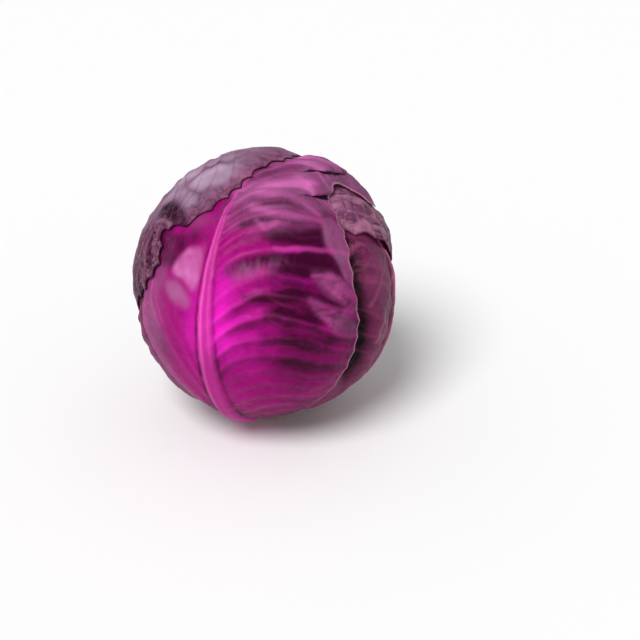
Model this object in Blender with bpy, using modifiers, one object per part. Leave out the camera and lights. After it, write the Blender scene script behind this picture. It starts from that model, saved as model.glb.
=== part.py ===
"""Red cabbage head: a cut stem with its core, the packed heart, and five wrapper leaves folded round it.

Metres, +Z up. The origin is the centre of the stem's cut face, on which the head stands.
Places on the head are given as longitude and latitude in degrees: longitude 0 faces -Y and grows
towards +X, latitude 90 is the top of the head. Each leaf is meshed flat, wrapped on the head, and
given its thickness by a Solidify modifier whose vertex weights are thick along the ribs.
"""

import math

import bmesh
import bpy
import numpy as np
from mathutils import Vector
from mathutils.geometry import delaunay_2d_cdt

# Driving dimensions
HEAD_RADIUS = 0.079
CENTRE_HEIGHT = 0.0835
BLADE = 0.0015
LEAF_GAP = 0.0010
STEP_WIDTH = 0.014
RIB_FADE = 0.006
THICKEST_RIB = 0.0040
THINNEST_RIB = 0.0006
MIDRIB_END = 100.0
MIDRIB_SPAN = 190.0
MIDRIB_SWAY_RATE = 1.6
MIDRIB_BASE_WIDTH = 0.0073
MIDRIB_TIP_WIDTH = 0.0025
LOWEST_SIDE_RIB = -62.0
RIB_ROOT = 2.5
FALL_FROM = 20.0
FALL_EASE = 12.0
RIB_END_FADE = 0.014
SIDE_RIB_FADE = 70.0
TOOTH_PITCH = 0.0165
LOWEST_TOOTH = -68.0

# A pleat: how softly its back rises, how sharply its lip drops, and where the drop ends, with the
# share of its length at which it has run out
PLEAT_BACK = 0.016
PLEAT_LIP = 0.0022
PLEAT_FOOT = 0.0048
PLEAT_RUN_OUT = 1.6

# Mesh spacings of the leaves
MARGIN_STEP = 0.0055
RIB_STEP = 0.010
FILL_STEP = 0.0115
FILL_CLEARANCE = 0.0055
EDGE_SAMPLE = 0.0010

# The stem: cut face, flare under the leaf bases, and the core inside the heart
STEM_CUT_RADIUS = 0.0152
STEM_FLARE_RADIUS = 0.0178
CORE_TOP = 0.098
SOCKET_CLEARANCE = 0.0006
STEM_SIDES = 40

# The heart's own leaves: how far round each reaches, how they lean, and how high their edges stand
HEART_LEAF_WIDTH = 120
HEART_LEAN = 70
HEART_STEP = 0.0016

# Colours of the wrapper leaves from the heart outwards, and of the rest
LEAF_COLOURS = (
    (0.20, 0.03, 0.13), (0.24, 0.04, 0.16), (0.21, 0.07, 0.18), (0.45, 0.01, 0.30), (0.28, 0.13, 0.27),
)
HEART_COLOUR = (0.30, 0.04, 0.20)
STEM_COLOUR = (0.80, 0.70, 0.52)
LEAF_ROUGHNESS = 0.42
STEM_ROUGHNESS = 0.62

# Lopsided swellings of the whole head: longitude, latitude, spread in degrees, height in metres
SWELLINGS = (
    (112, 34, 30, 0.0030),
    (-40, -50, 22, 0.0016),
    (95, -2, 27, -0.0044),
    (-75, -8, 28, -0.0008),
    (180, 66, 30, 0.0012),
)

# The hollow beside the front leaf's free edge: two ends, half width in degrees, depth in metres
HOLLOW = ((49, -46), (50, 37), 6.5, 0.0085)
HOLLOW_OWNERS = ("heart", "right_leaf", "shoulder_leaf")
HEART_HOLLOW_WIDENING = 1.6


def smoothstep(x):
    x = np.clip(x, 0.0, 1.0)
    return x * x * (3 - 2 * x)


def direction(lon, lat):
    """Unit vectors for longitudes and latitudes in degrees."""
    lon, lat = np.radians(lon), np.radians(lat)
    return np.stack(
        [np.cos(lat) * np.sin(lon), -np.cos(lat) * np.cos(lon), np.sin(lat)], axis=-1
    )


def latitude(dirs):
    return np.degrees(np.arcsin(np.clip(dirs[..., 2], -1.0, 1.0)))


def degrees_between(dirs, towards):
    return np.degrees(np.arccos(np.clip(dirs @ towards, -1.0, 1.0)))


def closed_curve(points, steps):
    """A closed Catmull-Rom curve through the points, with this many samples between two of them."""
    points = np.asarray(points)
    a, b, c, d = (np.roll(points, shift, axis=0) for shift in (1, 0, -1, -2))
    rows = []
    for t in np.linspace(0, 1, steps, endpoint=False):
        rows.append(
            0.5
            * (
                2 * b
                + (c - a) * t
                + (2 * a - 5 * b + 4 * c - d) * t**2
                + (3 * b - a - 3 * c + d) * t**3
            )
        )
    return np.stack(rows, axis=1).reshape(-1, 2)


def evenly(points, step, closed=False):
    """Points along a polyline at about this spacing."""
    points = np.vstack([points, points[:1]]) if closed else points
    run = np.concatenate([[0.0], np.cumsum(np.linalg.norm(np.diff(points, axis=0), axis=1))])
    count = max(2, round(run[-1] / step) + 1)
    at = np.linspace(0, run[-1], count)[: -1 if closed else None]
    return np.stack([np.interp(at, run, points[:, i]) for i in (0, 1)], axis=-1)


class Ribs:
    """The side ribs on one half of a leaf. Each leaves the midrib at its degrees in `starts`, climbs by
    `climb` degrees, levels out over `turn` degrees sideways and then falls by `fall` degrees a degree."""

    def __init__(self, starts, climb, turn, height, fall=0.0):
        self.starts = np.array(starts, float)
        self.climb = climb
        self.turn = turn
        self.height = height
        self.fall = fall

    def phase(self, across, up):
        """The number of the rib at each place, and how far on towards the next it lies."""
        climbed = self.climb * (1 - np.exp(-np.maximum(across - RIB_ROOT, 0) / self.turn))
        beyond = np.maximum(across - FALL_FROM, 0)
        steeper = 1 + 1.7 * smoothstep((up - 40) / 20)
        fallen = self.fall * steeper * beyond**2 / (beyond + FALL_EASE)
        return np.interp(up - climbed + fallen, self.starts, np.arange(len(self.starts)))


def spaced(first, pitch, count):
    """Starts of side ribs at an uneven pitch."""
    n = np.arange(count)
    return first + pitch * (n + 0.22 * np.sin(2.4 * n + first))


def rib_degrees(across, along, latitude):
    """Degrees up a leaf for its side ribs: those of the midrib near it, and latitude further out."""
    level = smoothstep((np.abs(across) - 12) / 26) * (1 - smoothstep((np.abs(along) - 60) / 30))
    return along + (latitude - along) * level


class Leaf:
    """One wrapper leaf. `margin` lists points of its edge from the base up the right side, over the
    tip and down the left side. `creases` are (lon, lat, lon, lat, height): pleats that deepen from
    the first point to the second, their raised lip on the left of that line. `lifts` are
    (lon, lat, spread, height), where the edge stands off the head."""

    def __init__(
        self, name, centre, midrib, margin, right, left, sway=0.0, tooth=0.0015, creases=(), lifts=()
    ):
        lon, lat = (math.radians(x) for x in centre)
        self.name = name
        self.centre = direction(*centre)
        self.rightward = np.array([math.cos(lon), math.sin(lon), 0.0])
        self.tipward = np.array(
            [-math.sin(lat) * math.sin(lon), math.sin(lat) * math.cos(lon), math.cos(lat)]
        )
        self.out = direction(midrib, 0)
        self.side = np.cross([0.0, 0.0, 1.0], self.out)
        self.right, self.left = right, left
        self.sway = sway
        self.creases, self.lifts = creases, lifts
        self.edge = self._edge(margin, tooth)
        self.edge_dirs = self.unit(self.edge)

    def flat(self, dirs):
        """Where directions fall on the leaf laid flat, by distance and bearing from its centre."""
        turn = np.arccos(np.clip(dirs @ self.centre, -1.0, 1.0))
        grow = HEAD_RADIUS * turn / np.maximum(np.sin(turn), 1e-6)
        return np.stack([dirs @ self.rightward, dirs @ self.tipward], axis=-1) * grow[..., None]

    def unit(self, flat):
        """The directions of points on the flat leaf."""
        reach = np.maximum(np.linalg.norm(flat, axis=-1), 1e-9)
        turn = reach / HEAD_RADIUS
        x, y = flat[..., 0] / reach, flat[..., 1] / reach
        around = x[..., None] * self.rightward + y[..., None] * self.tipward
        return np.cos(turn)[..., None] * self.centre + np.sin(turn)[..., None] * around

    def _edge(self, margin, tooth):
        """The toothed edge on the flat leaf, counter-clockwise: cusps with hollows between them."""
        lon, lat = np.array(margin, float).T
        curve = evenly(closed_curve(self.flat(direction(lon, lat)), 24), EDGE_SAMPLE, closed=True)
        run = EDGE_SAMPLE * np.arange(len(curve))
        phase = math.pi * run / TOOTH_PITCH + 0.9 * np.sin(run / 0.031) + 0.6 * np.sin(run / 0.013)
        toothed = smoothstep((latitude(self.unit(curve)) - LOWEST_TOOTH) / 20)
        depth = tooth * np.abs(np.sin(phase)) * toothed
        tangent = np.roll(curve, -1, axis=0) - np.roll(curve, 1, axis=0)
        tangent /= np.linalg.norm(tangent, axis=1)[:, None]
        return curve + depth[:, None] * np.stack([-tangent[:, 1], tangent[:, 0]], axis=-1)

    def inside(self, dirs):
        """Distance from the edge in metres, positive inside it."""
        near = np.max(dirs @ self.edge_dirs.T, axis=-1)
        distance = HEAD_RADIUS * np.arccos(np.clip(near, -1.0, 1.0))
        flat = self.flat(dirs)
        x, y = flat[..., 0, None], flat[..., 1, None]
        ax, ay = self.edge.T
        bx, by = np.roll(self.edge, -1, axis=0).T
        rise = np.where(by == ay, 1e-12, by - ay)
        crossed = ((ay > y) != (by > y)) & (x < ax + (y - ay) * (bx - ax) / rise)
        return np.where(crossed.sum(axis=-1) % 2 == 1, distance, -distance)

    def cover(self, dirs):
        """1 on the leaf, falling to 0 over STEP_WIDTH outside its edge."""
        return smoothstep(1 + self.inside(dirs) / STEP_WIDTH)

    def on_midrib(self, dirs):
        """Degrees sideways from the midrib, and degrees up it from the widest part of the head."""
        across = np.degrees(np.arcsin(np.clip(dirs @ self.side, -1.0, 1.0)))
        along = np.degrees(np.arctan2(dirs[..., 2], dirs @ self.out))
        along = np.where(along < -100, along + 360, along)
        return across - self.sway * np.sin(np.radians(along * MIDRIB_SWAY_RATE)), along

    def fullness(self, along):
        """The midrib's fullness: 0 at its tip, growing to nearly 1 at the leaf's base."""
        return np.clip((MIDRIB_END - along) / MIDRIB_SPAN, 0, 1)

    def midrib_width(self, along):
        """Half the midrib's width in metres."""
        return MIDRIB_TIP_WIDTH + (MIDRIB_BASE_WIDTH - MIDRIB_TIP_WIDTH) * self.fullness(along)

    def ribs(self, dirs):
        """How far the ribs stand up from the blade."""
        across, along = self.on_midrib(dirs)
        height = THINNEST_RIB + (THICKEST_RIB - THINNEST_RIB) * self.fullness(along)
        sideways = np.radians(across) * HEAD_RADIUS / self.midrib_width(along)
        middle = height * np.clip(1 - sideways**2, 0, 1)
        up = rib_degrees(across, along, latitude(dirs))
        side = np.zeros_like(middle)
        for half, sign in ((self.right, 1), (self.left, -1)):
            phase = half.phase(np.maximum(sign * across, 0), up)
            crest = 0.5 + 0.5 * np.cos(2 * math.pi * phase)
            shape = half.height * crest**2 * np.exp(-np.abs(across) / SIDE_RIB_FADE)
            side = np.where(sign * across > 0, shape, side)
        side *= smoothstep(self.inside(dirs) / RIB_END_FADE)
        side *= smoothstep((along - LOWEST_SIDE_RIB) / 25)
        return np.maximum(middle, side)

    def lift(self, dirs):
        """How far pleats and loose edges stand off the head."""
        total = np.zeros(dirs.shape[:-1])
        for lon, lat, spread, height in self.lifts:
            total += height * np.exp(-((degrees_between(dirs, direction(lon, lat)) / spread) ** 2))
        for crease in self.creases:
            along, above = crease_place(self, crease, dirs)
            fall = np.where(above > 0, np.exp(-above / PLEAT_BACK), np.exp(above / PLEAT_LIP))
            ends = smoothstep(along) * smoothstep((PLEAT_RUN_OUT - along) / 0.5)
            total += crease[4] * ends * fall
        return total


def crease_place(leaf, crease, dirs):
    """The share of the way along a crease, and the distance above its lip on the flat leaf."""
    start, end = leaf.flat(direction(np.array(crease[0:4:2]), np.array(crease[1:4:2])))
    run = end - start
    length = np.linalg.norm(run)
    run = run / length
    flat = leaf.flat(dirs) - start
    return flat @ run / length, flat @ np.array([-run[1], run[0]])


RIGHT_LEAF = Leaf(
    "right_leaf", (75, 0), 78,
    margin=(
        (75, -76), (95, -75), (114, -70), (132, -54), (143, -25), (145, 0), (140, 25), (120, 42),
        (90, 52), (60, 54), (35, 40), (22, 15), (18, -10), (17, -35), (20, -55), (34, -70), (54, -75.5),
    ),
    right=Ribs(spaced(-58, 13, 10), 44, 26, 0.0011),
    left=Ribs(spaced(-58, 13, 10), 44, 26, 0.0011),
)
LEFT_LEAF = Leaf(
    "left_leaf", (-85, -12), -88,
    margin=(
        (-85, -76), (-66, -75.5), (-46, -71), (-26, -58), (-18, -42), (-20, -20), (-30, 5), (-43, 25),
        (-65, 38), (-90, 42), (-120, 35), (-140, 15), (-148, -8), (-142, -35), (-130, -56),
        (-118, -70), (-104, -75.5),
    ),
    right=Ribs(spaced(-58, 12, 9), 40, 22, 0.0012),
    left=Ribs(spaced(-58, 12, 9), 40, 22, 0.0011),
)
SHOULDER_LEAF = Leaf(
    "shoulder_leaf", (128, 12), 138,
    margin=(
        (140, -76), (160, -75.5), (178, -70), (-176, -55), (-172, -33), (-168, -8), (-166, 15),
        (-166, 40), (-160, 60), (-130, 76), (60, 80), (44, 66), (45, 50), (56, 39.5), (66, 34.5),
        (75, 27), (87, 16), (99, 2), (108, -15), (114, -34), (114, -54), (104, -69), (120, -75.5),
    ),
    right=Ribs(spaced(-58, 12, 11), 40, 24, 0.0011),
    left=Ribs(spaced(-58, 12, 11), 40, 24, 0.0012),
    lifts=((76, 28, 9, 0.0020), (92, 11, 9, 0.0010)),
)
FRONT_LEAF = Leaf(
    "front_leaf", (-22, 28), -23.5,
    margin=(
        (-28, -76), (-8, -75.5), (10, -69), (26, -54), (36, -34), (42, -14), (44, 2), (44.5, 16),
        (47, 29), (50, 38), (53, 46), (58, 53.5), (66, 58.5), (77, 58.5), (86, 53.5), (91, 46),
        (96, 38), (106, 32), (121, 34), (134, 44), (150, 57), (-165, 67), (-135, 61), (-112, 48), (-95, 33),
        (-82, 17), (-72, 3), (-66, -10), (-59, -22), (-50, -33), (-43, -46), (-42, -58), (-48, -68),
        (-42, -75),
    ),
    right=Ribs(
        (-58, -50, -41, -33, -25, -17, -9, -1, 7.5, 15.5, 28, 39.5, 46, 53, 61, 70, 80),
        18, 11, 0.0013, fall=0.55,
    ),
    left=Ribs(spaced(-52, 14, 10), 72, 28, 0.0009),
    sway=-1.4,
    creases=((34, 63, 70, 58, 0.0032), (62, 73, 104, 59, 0.0026)),
    lifts=((54, 38, 12, 0.0012), (44, 4, 14, 0.0012)),
)
CAP_LEAF = Leaf(
    "cap_leaf", (-148, 20), -145,
    margin=(
        (-145, -76), (-125, -75.5), (-110, -70), (-102, -54), (-94, -36), (-86, -19), (-77, -4),
        (-66, 6), (-59, 16), (-55, 24), (-58, 31), (-64, 36.5), (-59, 40), (-51, 43.5), (-44, 49.5),
        (-36, 59), (-27, 69), (-20, 79), (30, 86), (122, 76), (145, 60), (149, 40), (149, 20),
        (153, 0), (161, -25), (168, -48), (172, -66), (-176, -74), (-160, -76),
    ),
    right=Ribs(spaced(-56, 13, 11), 46, 24, 0.0010),
    left=Ribs(spaced(-56, 13, 11), 46, 24, 0.0010),
    tooth=0.0030,
    creases=((-71, 38, -67, 20, 0.0014), (-82, 38, -78, 16, 0.0010)),
)
# From the heart outwards
LEAVES = (RIGHT_LEAF, LEFT_LEAF, SHOULDER_LEAF, FRONT_LEAF, CAP_LEAF)


def leaves_over(name):
    names = [leaf.name for leaf in LEAVES]
    return LEAVES[names.index(name) + 1 :] if name in names else LEAVES


def hollow_depth(dirs, widening=1.0):
    low, high, half_width, depth = HOLLOW
    lon = np.degrees(np.arctan2(dirs[..., 0], -dirs[..., 1]))
    lat = latitude(dirs)
    middle = np.interp(lat, (low[1], high[1]), (low[0], high[0]))
    sideways = (lon - middle) * np.cos(np.radians(lat)) / (half_width * widening)
    ends = smoothstep((lat - low[1]) / 16) * smoothstep((high[1] + 6 - lat) / 12)
    return depth * np.exp(-(sideways**2)) * ends


def surface(name, dirs):
    """Radius of the upper face of a layer's blade: the head's outside, less the leaves over it."""
    radius = np.full(dirs.shape[:-1], HEAD_RADIUS)
    for lon, lat, spread, height in SWELLINGS:
        radius += height * np.exp(-((degrees_between(dirs, direction(lon, lat)) / spread) ** 2))
    for leaf in leaves_over(name):
        radius -= (BLADE + LEAF_GAP) * leaf.cover(dirs)
    if name in HOLLOW_OWNERS:
        radius -= hollow_depth(dirs, HEART_HOLLOW_WIDENING if name == "heart" else 1.0)
    return radius


def showing(leaf, dirs):
    """1 where nothing lies over the leaf, 0 where another leaf presses its ribs flat."""
    free = np.ones(dirs.shape[:-1])
    for upper in leaves_over(leaf.name):
        free *= 1 - smoothstep(1 + upper.inside(dirs) / RIB_FADE)
    return free


def on_head(dirs, radius):
    return dirs * radius[..., None] + np.array([0.0, 0.0, CENTRE_HEIGHT])


def from_midrib(leaf, across, along):
    """Directions of points given in degrees sideways from the midrib and up it."""
    across = across + leaf.sway * np.sin(np.radians(along * MIDRIB_SWAY_RATE))
    a, b = np.radians(across), np.radians(along)
    forward = np.cos(b)[..., None] * leaf.out + np.sin(b)[..., None] * np.array([0.0, 0.0, 1.0])
    return np.cos(a)[..., None] * forward + np.sin(a)[..., None] * leaf.side


def rib_lines(leaf):
    """Polylines on the flat leaf: five along the midrib, and the side ribs with the valleys between."""
    lines = []
    along = np.arange(-74.0, MIDRIB_END, 8.0)
    width = np.degrees(leaf.midrib_width(along) / HEAD_RADIUS)
    for share in (-1.0, -0.6, 0.0, 0.6, 1.0):
        lines.append(leaf.flat(from_midrib(leaf, share * width, along)))
    across = np.arange(8.0, 78.0, 8.0)
    along = np.arange(-76.0, MIDRIB_END, 2.0)
    for half, sign in ((leaf.right, 1), (leaf.left, -1)):
        dirs = from_midrib(leaf, sign * across[:, None], along[None])
        up = rib_degrees(across[:, None], along[None], latitude(dirs))
        phase = half.phase(across[:, None], up)
        for n in np.arange(0.5, len(half.starts) - 1, 0.5):
            reached = (phase[:, 0] < n) & (phase[:, -1] > n)
            at = np.array([np.interp(n, row, along) for row in phase[reached]])
            if len(at) > 1:
                lines.append(leaf.flat(from_midrib(leaf, sign * across[reached], at)))
    return lines


def crease_lines(leaf):
    lines = []
    for crease in leaf.creases:
        ends = leaf.flat(direction(np.array(crease[0:4:2]), np.array(crease[1:4:2])))
        run = (ends[1] - ends[0]) / np.linalg.norm(ends[1] - ends[0])
        foot = PLEAT_FOOT * np.array([run[1], -run[0]])
        lines.append(ends)
        lines.append(ends + foot)
    return lines


def step_lines(leaf):
    """Where the edges of the leaves above press on this one, and the foot of the step beside them."""
    lines = []
    for upper in leaves_over(leaf.name):
        edge = np.vstack([upper.edge, upper.edge[:1]])
        lines.append(leaf.flat(upper.unit(edge)))
        grown = edge * (1 + STEP_WIDTH / np.linalg.norm(edge, axis=1))[:, None]
        lines.append(leaf.flat(upper.unit(grown)))
    return lines


def flat_mesh(leaf):
    """Points and triangles of the leaf laid flat, denser along its edge, ribs, creases and steps."""
    outline = evenly(leaf.edge, MARGIN_STEP, closed=True)
    count = len(outline)
    points = [outline]
    edges = [(i, (i + 1) % count) for i in range(count)]
    total = count
    rows = [(line, True) for line in rib_lines(leaf)]
    rows += [(line, False) for line in crease_lines(leaf) + step_lines(leaf)]
    for line, only_showing in rows:
        line = evenly(line, RIB_STEP)
        dirs = leaf.unit(line)
        kept = leaf.inside(dirs) > FILL_CLEARANCE
        if only_showing:
            kept &= showing(leaf, dirs) > 0
        places = np.cumsum(kept) - 1 + total
        edges += [(places[i], places[i + 1]) for i in range(len(line) - 1) if kept[i] and kept[i + 1]]
        points.append(line[kept])
        total += int(kept.sum())
    points = np.vstack(points)
    low, high = outline.min(axis=0), outline.max(axis=0)
    row_step = FILL_STEP * math.sqrt(3) / 2
    for row, y in enumerate(np.arange(low[1], high[1], row_step)):
        x = np.arange(low[0] + (row % 2) * FILL_STEP / 2, high[0], FILL_STEP)
        spots = np.stack([x, np.full_like(x, y)], axis=-1)
        spots = spots[leaf.inside(leaf.unit(spots)) > FILL_CLEARANCE]
        if len(spots):
            apart = np.linalg.norm(points[:, None] - spots[None], axis=-1).min(axis=0)
            points = np.vstack([points, spots[apart > FILL_CLEARANCE]])
    vectors = [Vector(p) for p in points]
    found = delaunay_2d_cdt(vectors, edges, [list(range(count))], 1, 1e-6)
    return np.array([p[:] for p in found[0]]), found[2]


def new_object(name, mesh, colour, roughness):
    """Links a mesh object to the cabbage's collection with a material of its own."""
    material = bpy.data.materials.new(name)
    material.use_nodes = True
    shader = material.node_tree.nodes["Principled BSDF"]
    shader.inputs["Base Color"].default_value = (*colour, 1.0)
    shader.inputs["Roughness"].default_value = roughness
    mesh.materials.append(material)
    obj = bpy.data.objects.new(name, mesh)
    cabbage.objects.link(obj)
    return obj


def make_leaf(leaf, colour):
    flat, triangles = flat_mesh(leaf)
    dirs = leaf.unit(flat)
    free = showing(leaf, dirs)
    inner = surface(leaf.name, dirs) - BLADE + leaf.lift(dirs) * free
    mesh = bpy.data.meshes.new(leaf.name)
    mesh.from_pydata(on_head(dirs, inner).tolist(), [], triangles)
    obj = new_object(leaf.name, mesh, colour, LEAF_ROUGHNESS)
    thickness = (BLADE + leaf.ribs(dirs) * free) / (BLADE + THICKEST_RIB)
    weights = obj.vertex_groups.new(name="thickness")
    for index, weight in enumerate(thickness):
        weights.add([index], float(weight), "REPLACE")
    shell = obj.modifiers.new("blade and ribs", "SOLIDIFY")
    shell.thickness = BLADE + THICKEST_RIB
    shell.offset = 1.0
    shell.vertex_group = "thickness"


def core_profile(clearance):
    """Radius and height of the stem and core, from the edge of the cut face to the core's tip."""
    outline = (
        (STEM_CUT_RADIUS, 0.0), (STEM_FLARE_RADIUS, 0.0016), (STEM_FLARE_RADIUS, 0.0050),
        (0.0150, 0.0170), (0.0138, 0.0260), (0.0120, 0.0450), (0.0088, 0.0700), (0.0048, 0.0900),
        (0.0, CORE_TOP),
    )
    return [(r + clearance if r > 0 else 0.0, z + clearance) for r, z in outline]


def profile_mesh(name, profile):
    """A turned solid's profile from (radius, height) points, drawn at +X from its top down."""
    bm = bmesh.new()
    verts = [bm.verts.new((r, 0.0, z)) for r, z in reversed(profile)]
    for first, second in zip(verts, verts[1:]):
        bm.edges.new((first, second))
    mesh = bpy.data.meshes.new(name)
    bm.to_mesh(mesh)
    bm.free()
    return mesh


def turn(obj):
    """Spins a profile about the head's axis into a closed solid."""
    spin = obj.modifiers.new("turn", "SCREW")
    spin.axis = "Z"
    spin.angle = 2 * math.pi
    spin.steps = spin.render_steps = STEM_SIDES
    spin.use_merge_vertices = True
    spin.merge_threshold = 0.00005


def make_stem():
    profile = [(0.0, 0.0), *core_profile(0.0)]
    turn(new_object("stem", profile_mesh("stem", profile), STEM_COLOUR, STEM_ROUGHNESS))


def inner_leaf_steps(dirs):
    """The heart's own leaves wrap one over the next, in three turns that lean as they climb."""
    lon = np.degrees(np.arctan2(dirs[..., 0], -dirs[..., 1]))
    turns = ((lon + HEART_LEAN * dirs[..., 2]) / HEART_LEAF_WIDTH) % 1.0
    away_from_poles = smoothstep((1 - np.abs(dirs[..., 2])) / 0.25)
    return -HEART_STEP * turns * away_from_poles


def make_heart():
    bm = bmesh.new()
    bmesh.ops.create_uvsphere(bm, u_segments=36, v_segments=20, radius=1.0)
    dirs = np.array([vert.co.normalized()[:] for vert in bm.verts])
    places = on_head(dirs, surface("heart", dirs) + inner_leaf_steps(dirs))
    for vert, place in zip(bm.verts, places):
        vert.co = place
    mesh = bpy.data.meshes.new("heart")
    bm.to_mesh(mesh)
    bm.free()
    heart = new_object("heart", mesh, HEART_COLOUR, LEAF_ROUGHNESS)
    mouth = [(0.0, -CENTRE_HEIGHT), (STEM_FLARE_RADIUS, -CENTRE_HEIGHT)]
    inside = core_profile(SOCKET_CLEARANCE)[2:]
    socket = bpy.data.objects.new("socket", profile_mesh("socket", mouth + inside))
    turn(socket)
    socket.hide_render = True
    socket.display_type = "WIRE"
    cutters.objects.link(socket)
    cut = heart.modifiers.new("core socket", "BOOLEAN")
    cut.operation = "DIFFERENCE"
    cut.object = socket


for old in list(bpy.data.objects):
    bpy.data.objects.remove(old)
cabbage = bpy.data.collections.new("Cabbage head")
cutters = bpy.data.collections.new("Cutters")
bpy.context.scene.collection.children.link(cabbage)
bpy.context.scene.collection.children.link(cutters)
make_stem()
make_heart()
for leaf, colour in zip(LEAVES, LEAF_COLOURS):
    make_leaf(leaf, colour)
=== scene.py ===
"""Looks for a head of red cabbage: fine wrapper leaves, heart and stem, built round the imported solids.

Places on the head are given as longitude and latitude in degrees: longitude 0 faces -Y, towards the
camera, and grows towards +X; latitude 90 is the top. Every leaf is drawn flat, measured with numpy, and
wrapped and thickened by one Geometry Nodes tree.
"""

import math
from collections import namedtuple

import bpy
import numpy as np
from bpy.props import FloatProperty, FloatVectorProperty, PointerProperty
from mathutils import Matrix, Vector
from mathutils.geometry import delaunay_2d_cdt


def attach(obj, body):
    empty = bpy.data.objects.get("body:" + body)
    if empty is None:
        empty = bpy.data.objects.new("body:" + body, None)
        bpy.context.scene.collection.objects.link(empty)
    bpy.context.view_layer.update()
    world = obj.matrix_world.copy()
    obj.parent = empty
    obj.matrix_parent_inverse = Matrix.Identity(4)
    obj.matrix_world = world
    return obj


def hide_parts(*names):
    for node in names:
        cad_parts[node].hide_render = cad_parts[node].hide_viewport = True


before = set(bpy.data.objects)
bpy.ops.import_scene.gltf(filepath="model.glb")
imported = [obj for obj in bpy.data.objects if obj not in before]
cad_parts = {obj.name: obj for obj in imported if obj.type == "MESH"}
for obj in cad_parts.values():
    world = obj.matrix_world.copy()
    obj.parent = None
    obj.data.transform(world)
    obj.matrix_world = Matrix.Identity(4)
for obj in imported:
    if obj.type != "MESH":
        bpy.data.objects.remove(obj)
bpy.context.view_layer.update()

bl_info = {
    "name": "Red Cabbage Head",
    "version": (1, 0, 0),
    "blender": (4, 5, 0),
    "location": "3D View > Sidebar > Cabbage",
    "description": "Builds a head of red cabbage with ribbed, toothed and bloomed wrapper leaves",
    "category": "Add Mesh",
}

# The head and its leaves, in metres and degrees, as in the solids
HEAD_RADIUS = 0.079
CENTRE_HEIGHT = 0.0835
BLADE = 0.0015
LEAF_GAP = 0.0010
STEP_WIDTH = 0.014
RIB_FADE = 0.006

# The midrib: height and half width at the leaf's tip and base, where it ends, and how it sways
THICKEST_RIB = 0.0040
THINNEST_RIB = 0.0006
MIDRIB_END = 100.0
MIDRIB_SPAN = 190.0
MIDRIB_SWAY_RATE = 1.6
MIDRIB_BASE_WIDTH = 0.0073
MIDRIB_TIP_WIDTH = 0.0025
# Its two pale bars, the left one brighter as a painted highlight, and the dark lines along both sides,
# painted shade: place and width as shares of its half width, strength
MIDRIB_BARS = ((-0.42, 0.27, 1.1), (0.58, 0.26, 0.6))
MIDRIB_SHADOWS = ((-1.18, 0.20, 0.75), (1.22, 0.22, 0.45))

# The side ribs: degrees from the midrib where they start and fall, how they fade outwards, in degrees,
# and towards the leaf's edge, in metres, and the half width of their crests near the midrib and far out
LOWEST_SIDE_RIB = -62.0
RIB_ROOT = 2.5
FALL_FROM = 20.0
FALL_EASE = 12.0
SIDE_RIB_FADE = 70.0
RIB_END_FADE = 0.014
RIB_LINE = (0.0016, 0.0009)

# The edge: its teeth, how their pitch drifts (by how much, over what length), its finer nicks, how far
# in the blade is thinner, how far in the edge lifts or droops, and where its own colour starts and ends
TOOTH_PITCH = 0.0165
TOOTH_DRIFTS = ((0.9, 0.031), (0.6, 0.013))
LOWEST_TOOTH = -68.0
NICK_SIZE = 0.0035
NICK_DEPTH = 0.0006
EDGE_TAPER = 0.012
EDGE_REACH = 0.009
EDGE_BAND = (0.0003, 0.0009)

# The pleats: how far they reach behind and below the lip, how they lean over, and the width of the painted
# shade in the gap below them
PLEAT_BACK = 0.016
PLEAT_LIP = 0.0022
PLEAT_RUN_OUT = 1.6
PLEAT_OVERHANG = 1.1
PLEAT_LEAN = (0.006, 0.0016)
PLEAT_GAP_SHADE = (0.0006, 0.0024)
SHALLOW_CREASE = 0.0010
CREASE_WANDER = 0.0012

# How finely an edge is drawn, how many places are measured at once, and how deep under another leaf
# a leaf is never seen
EDGE_SAMPLE = 0.0010
BLOCK = 4000
HIDDEN_DEPTH = 0.012

# Where the head swells, as (lon, lat, spread, height), and the hollow behind the front leaf's free edge:
# its lower and upper end, half width and depth, and the leaves that it is pressed into
SWELLINGS = (
    (112, 34, 30, 0.0030),
    (-40, -50, 22, 0.0016),
    (95, -2, 27, -0.0044),
    (-75, -8, 28, -0.0008),
    (180, 66, 30, 0.0012),
)
HOLLOW = ((49, -46), (50, 37), 6.5, 0.0085)
HOLLOW_OWNERS = ("right_leaf", "shoulder_leaf")

# Where the photograph's frame puts the head, in pixels of its 640 by 640, and how it is seen
FRAME_WIDTH = 640
HEAD_PIXEL = (265.5, 284.0)
HEAD_PIXEL_RADIUS = 132.5
VIEW_ELEVATION = 28.0
VIEW_DISTANCE = 1.0
SENSOR = 36.0


def smoothstep(x):
    """0 below 0, 1 above 1, and an S-shaped rise between them."""
    x = np.clip(x, 0.0, 1.0)
    return x * x * (3 - 2 * x)


def bell(x):
    """1 at 0, falling softly on both sides to almost nothing at 2."""
    return np.exp(-(x**2))


def direction(lon, lat):
    """Unit vectors for longitudes and latitudes in degrees."""
    lon, lat = np.radians(lon), np.radians(lat)
    return np.stack([np.cos(lat) * np.sin(lon), -np.cos(lat) * np.cos(lon), np.sin(lat)], axis=-1)


def lon_lat(dirs):
    """Longitudes and latitudes in degrees of unit vectors."""
    lon = np.degrees(np.arctan2(dirs[..., 0], -dirs[..., 1]))
    return lon, np.degrees(np.arcsin(np.clip(dirs[..., 2], -1.0, 1.0)))


def degrees_between(dirs, towards):
    return np.degrees(np.arccos(np.clip(dirs @ towards, -1.0, 1.0)))


def degrees_from(dirs, lon, lat, turn=0.0):
    """Degrees right of and above a place on the head, in axes turned clockwise by `turn` degrees."""
    here_lon, here_lat = lon_lat(dirs)
    x = ((here_lon - lon + 180) % 360 - 180) * np.cos(np.radians(here_lat))
    y = here_lat - lat
    c, s = math.cos(math.radians(turn)), math.sin(math.radians(turn))
    return c * x - s * y, s * x + c * y


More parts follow.
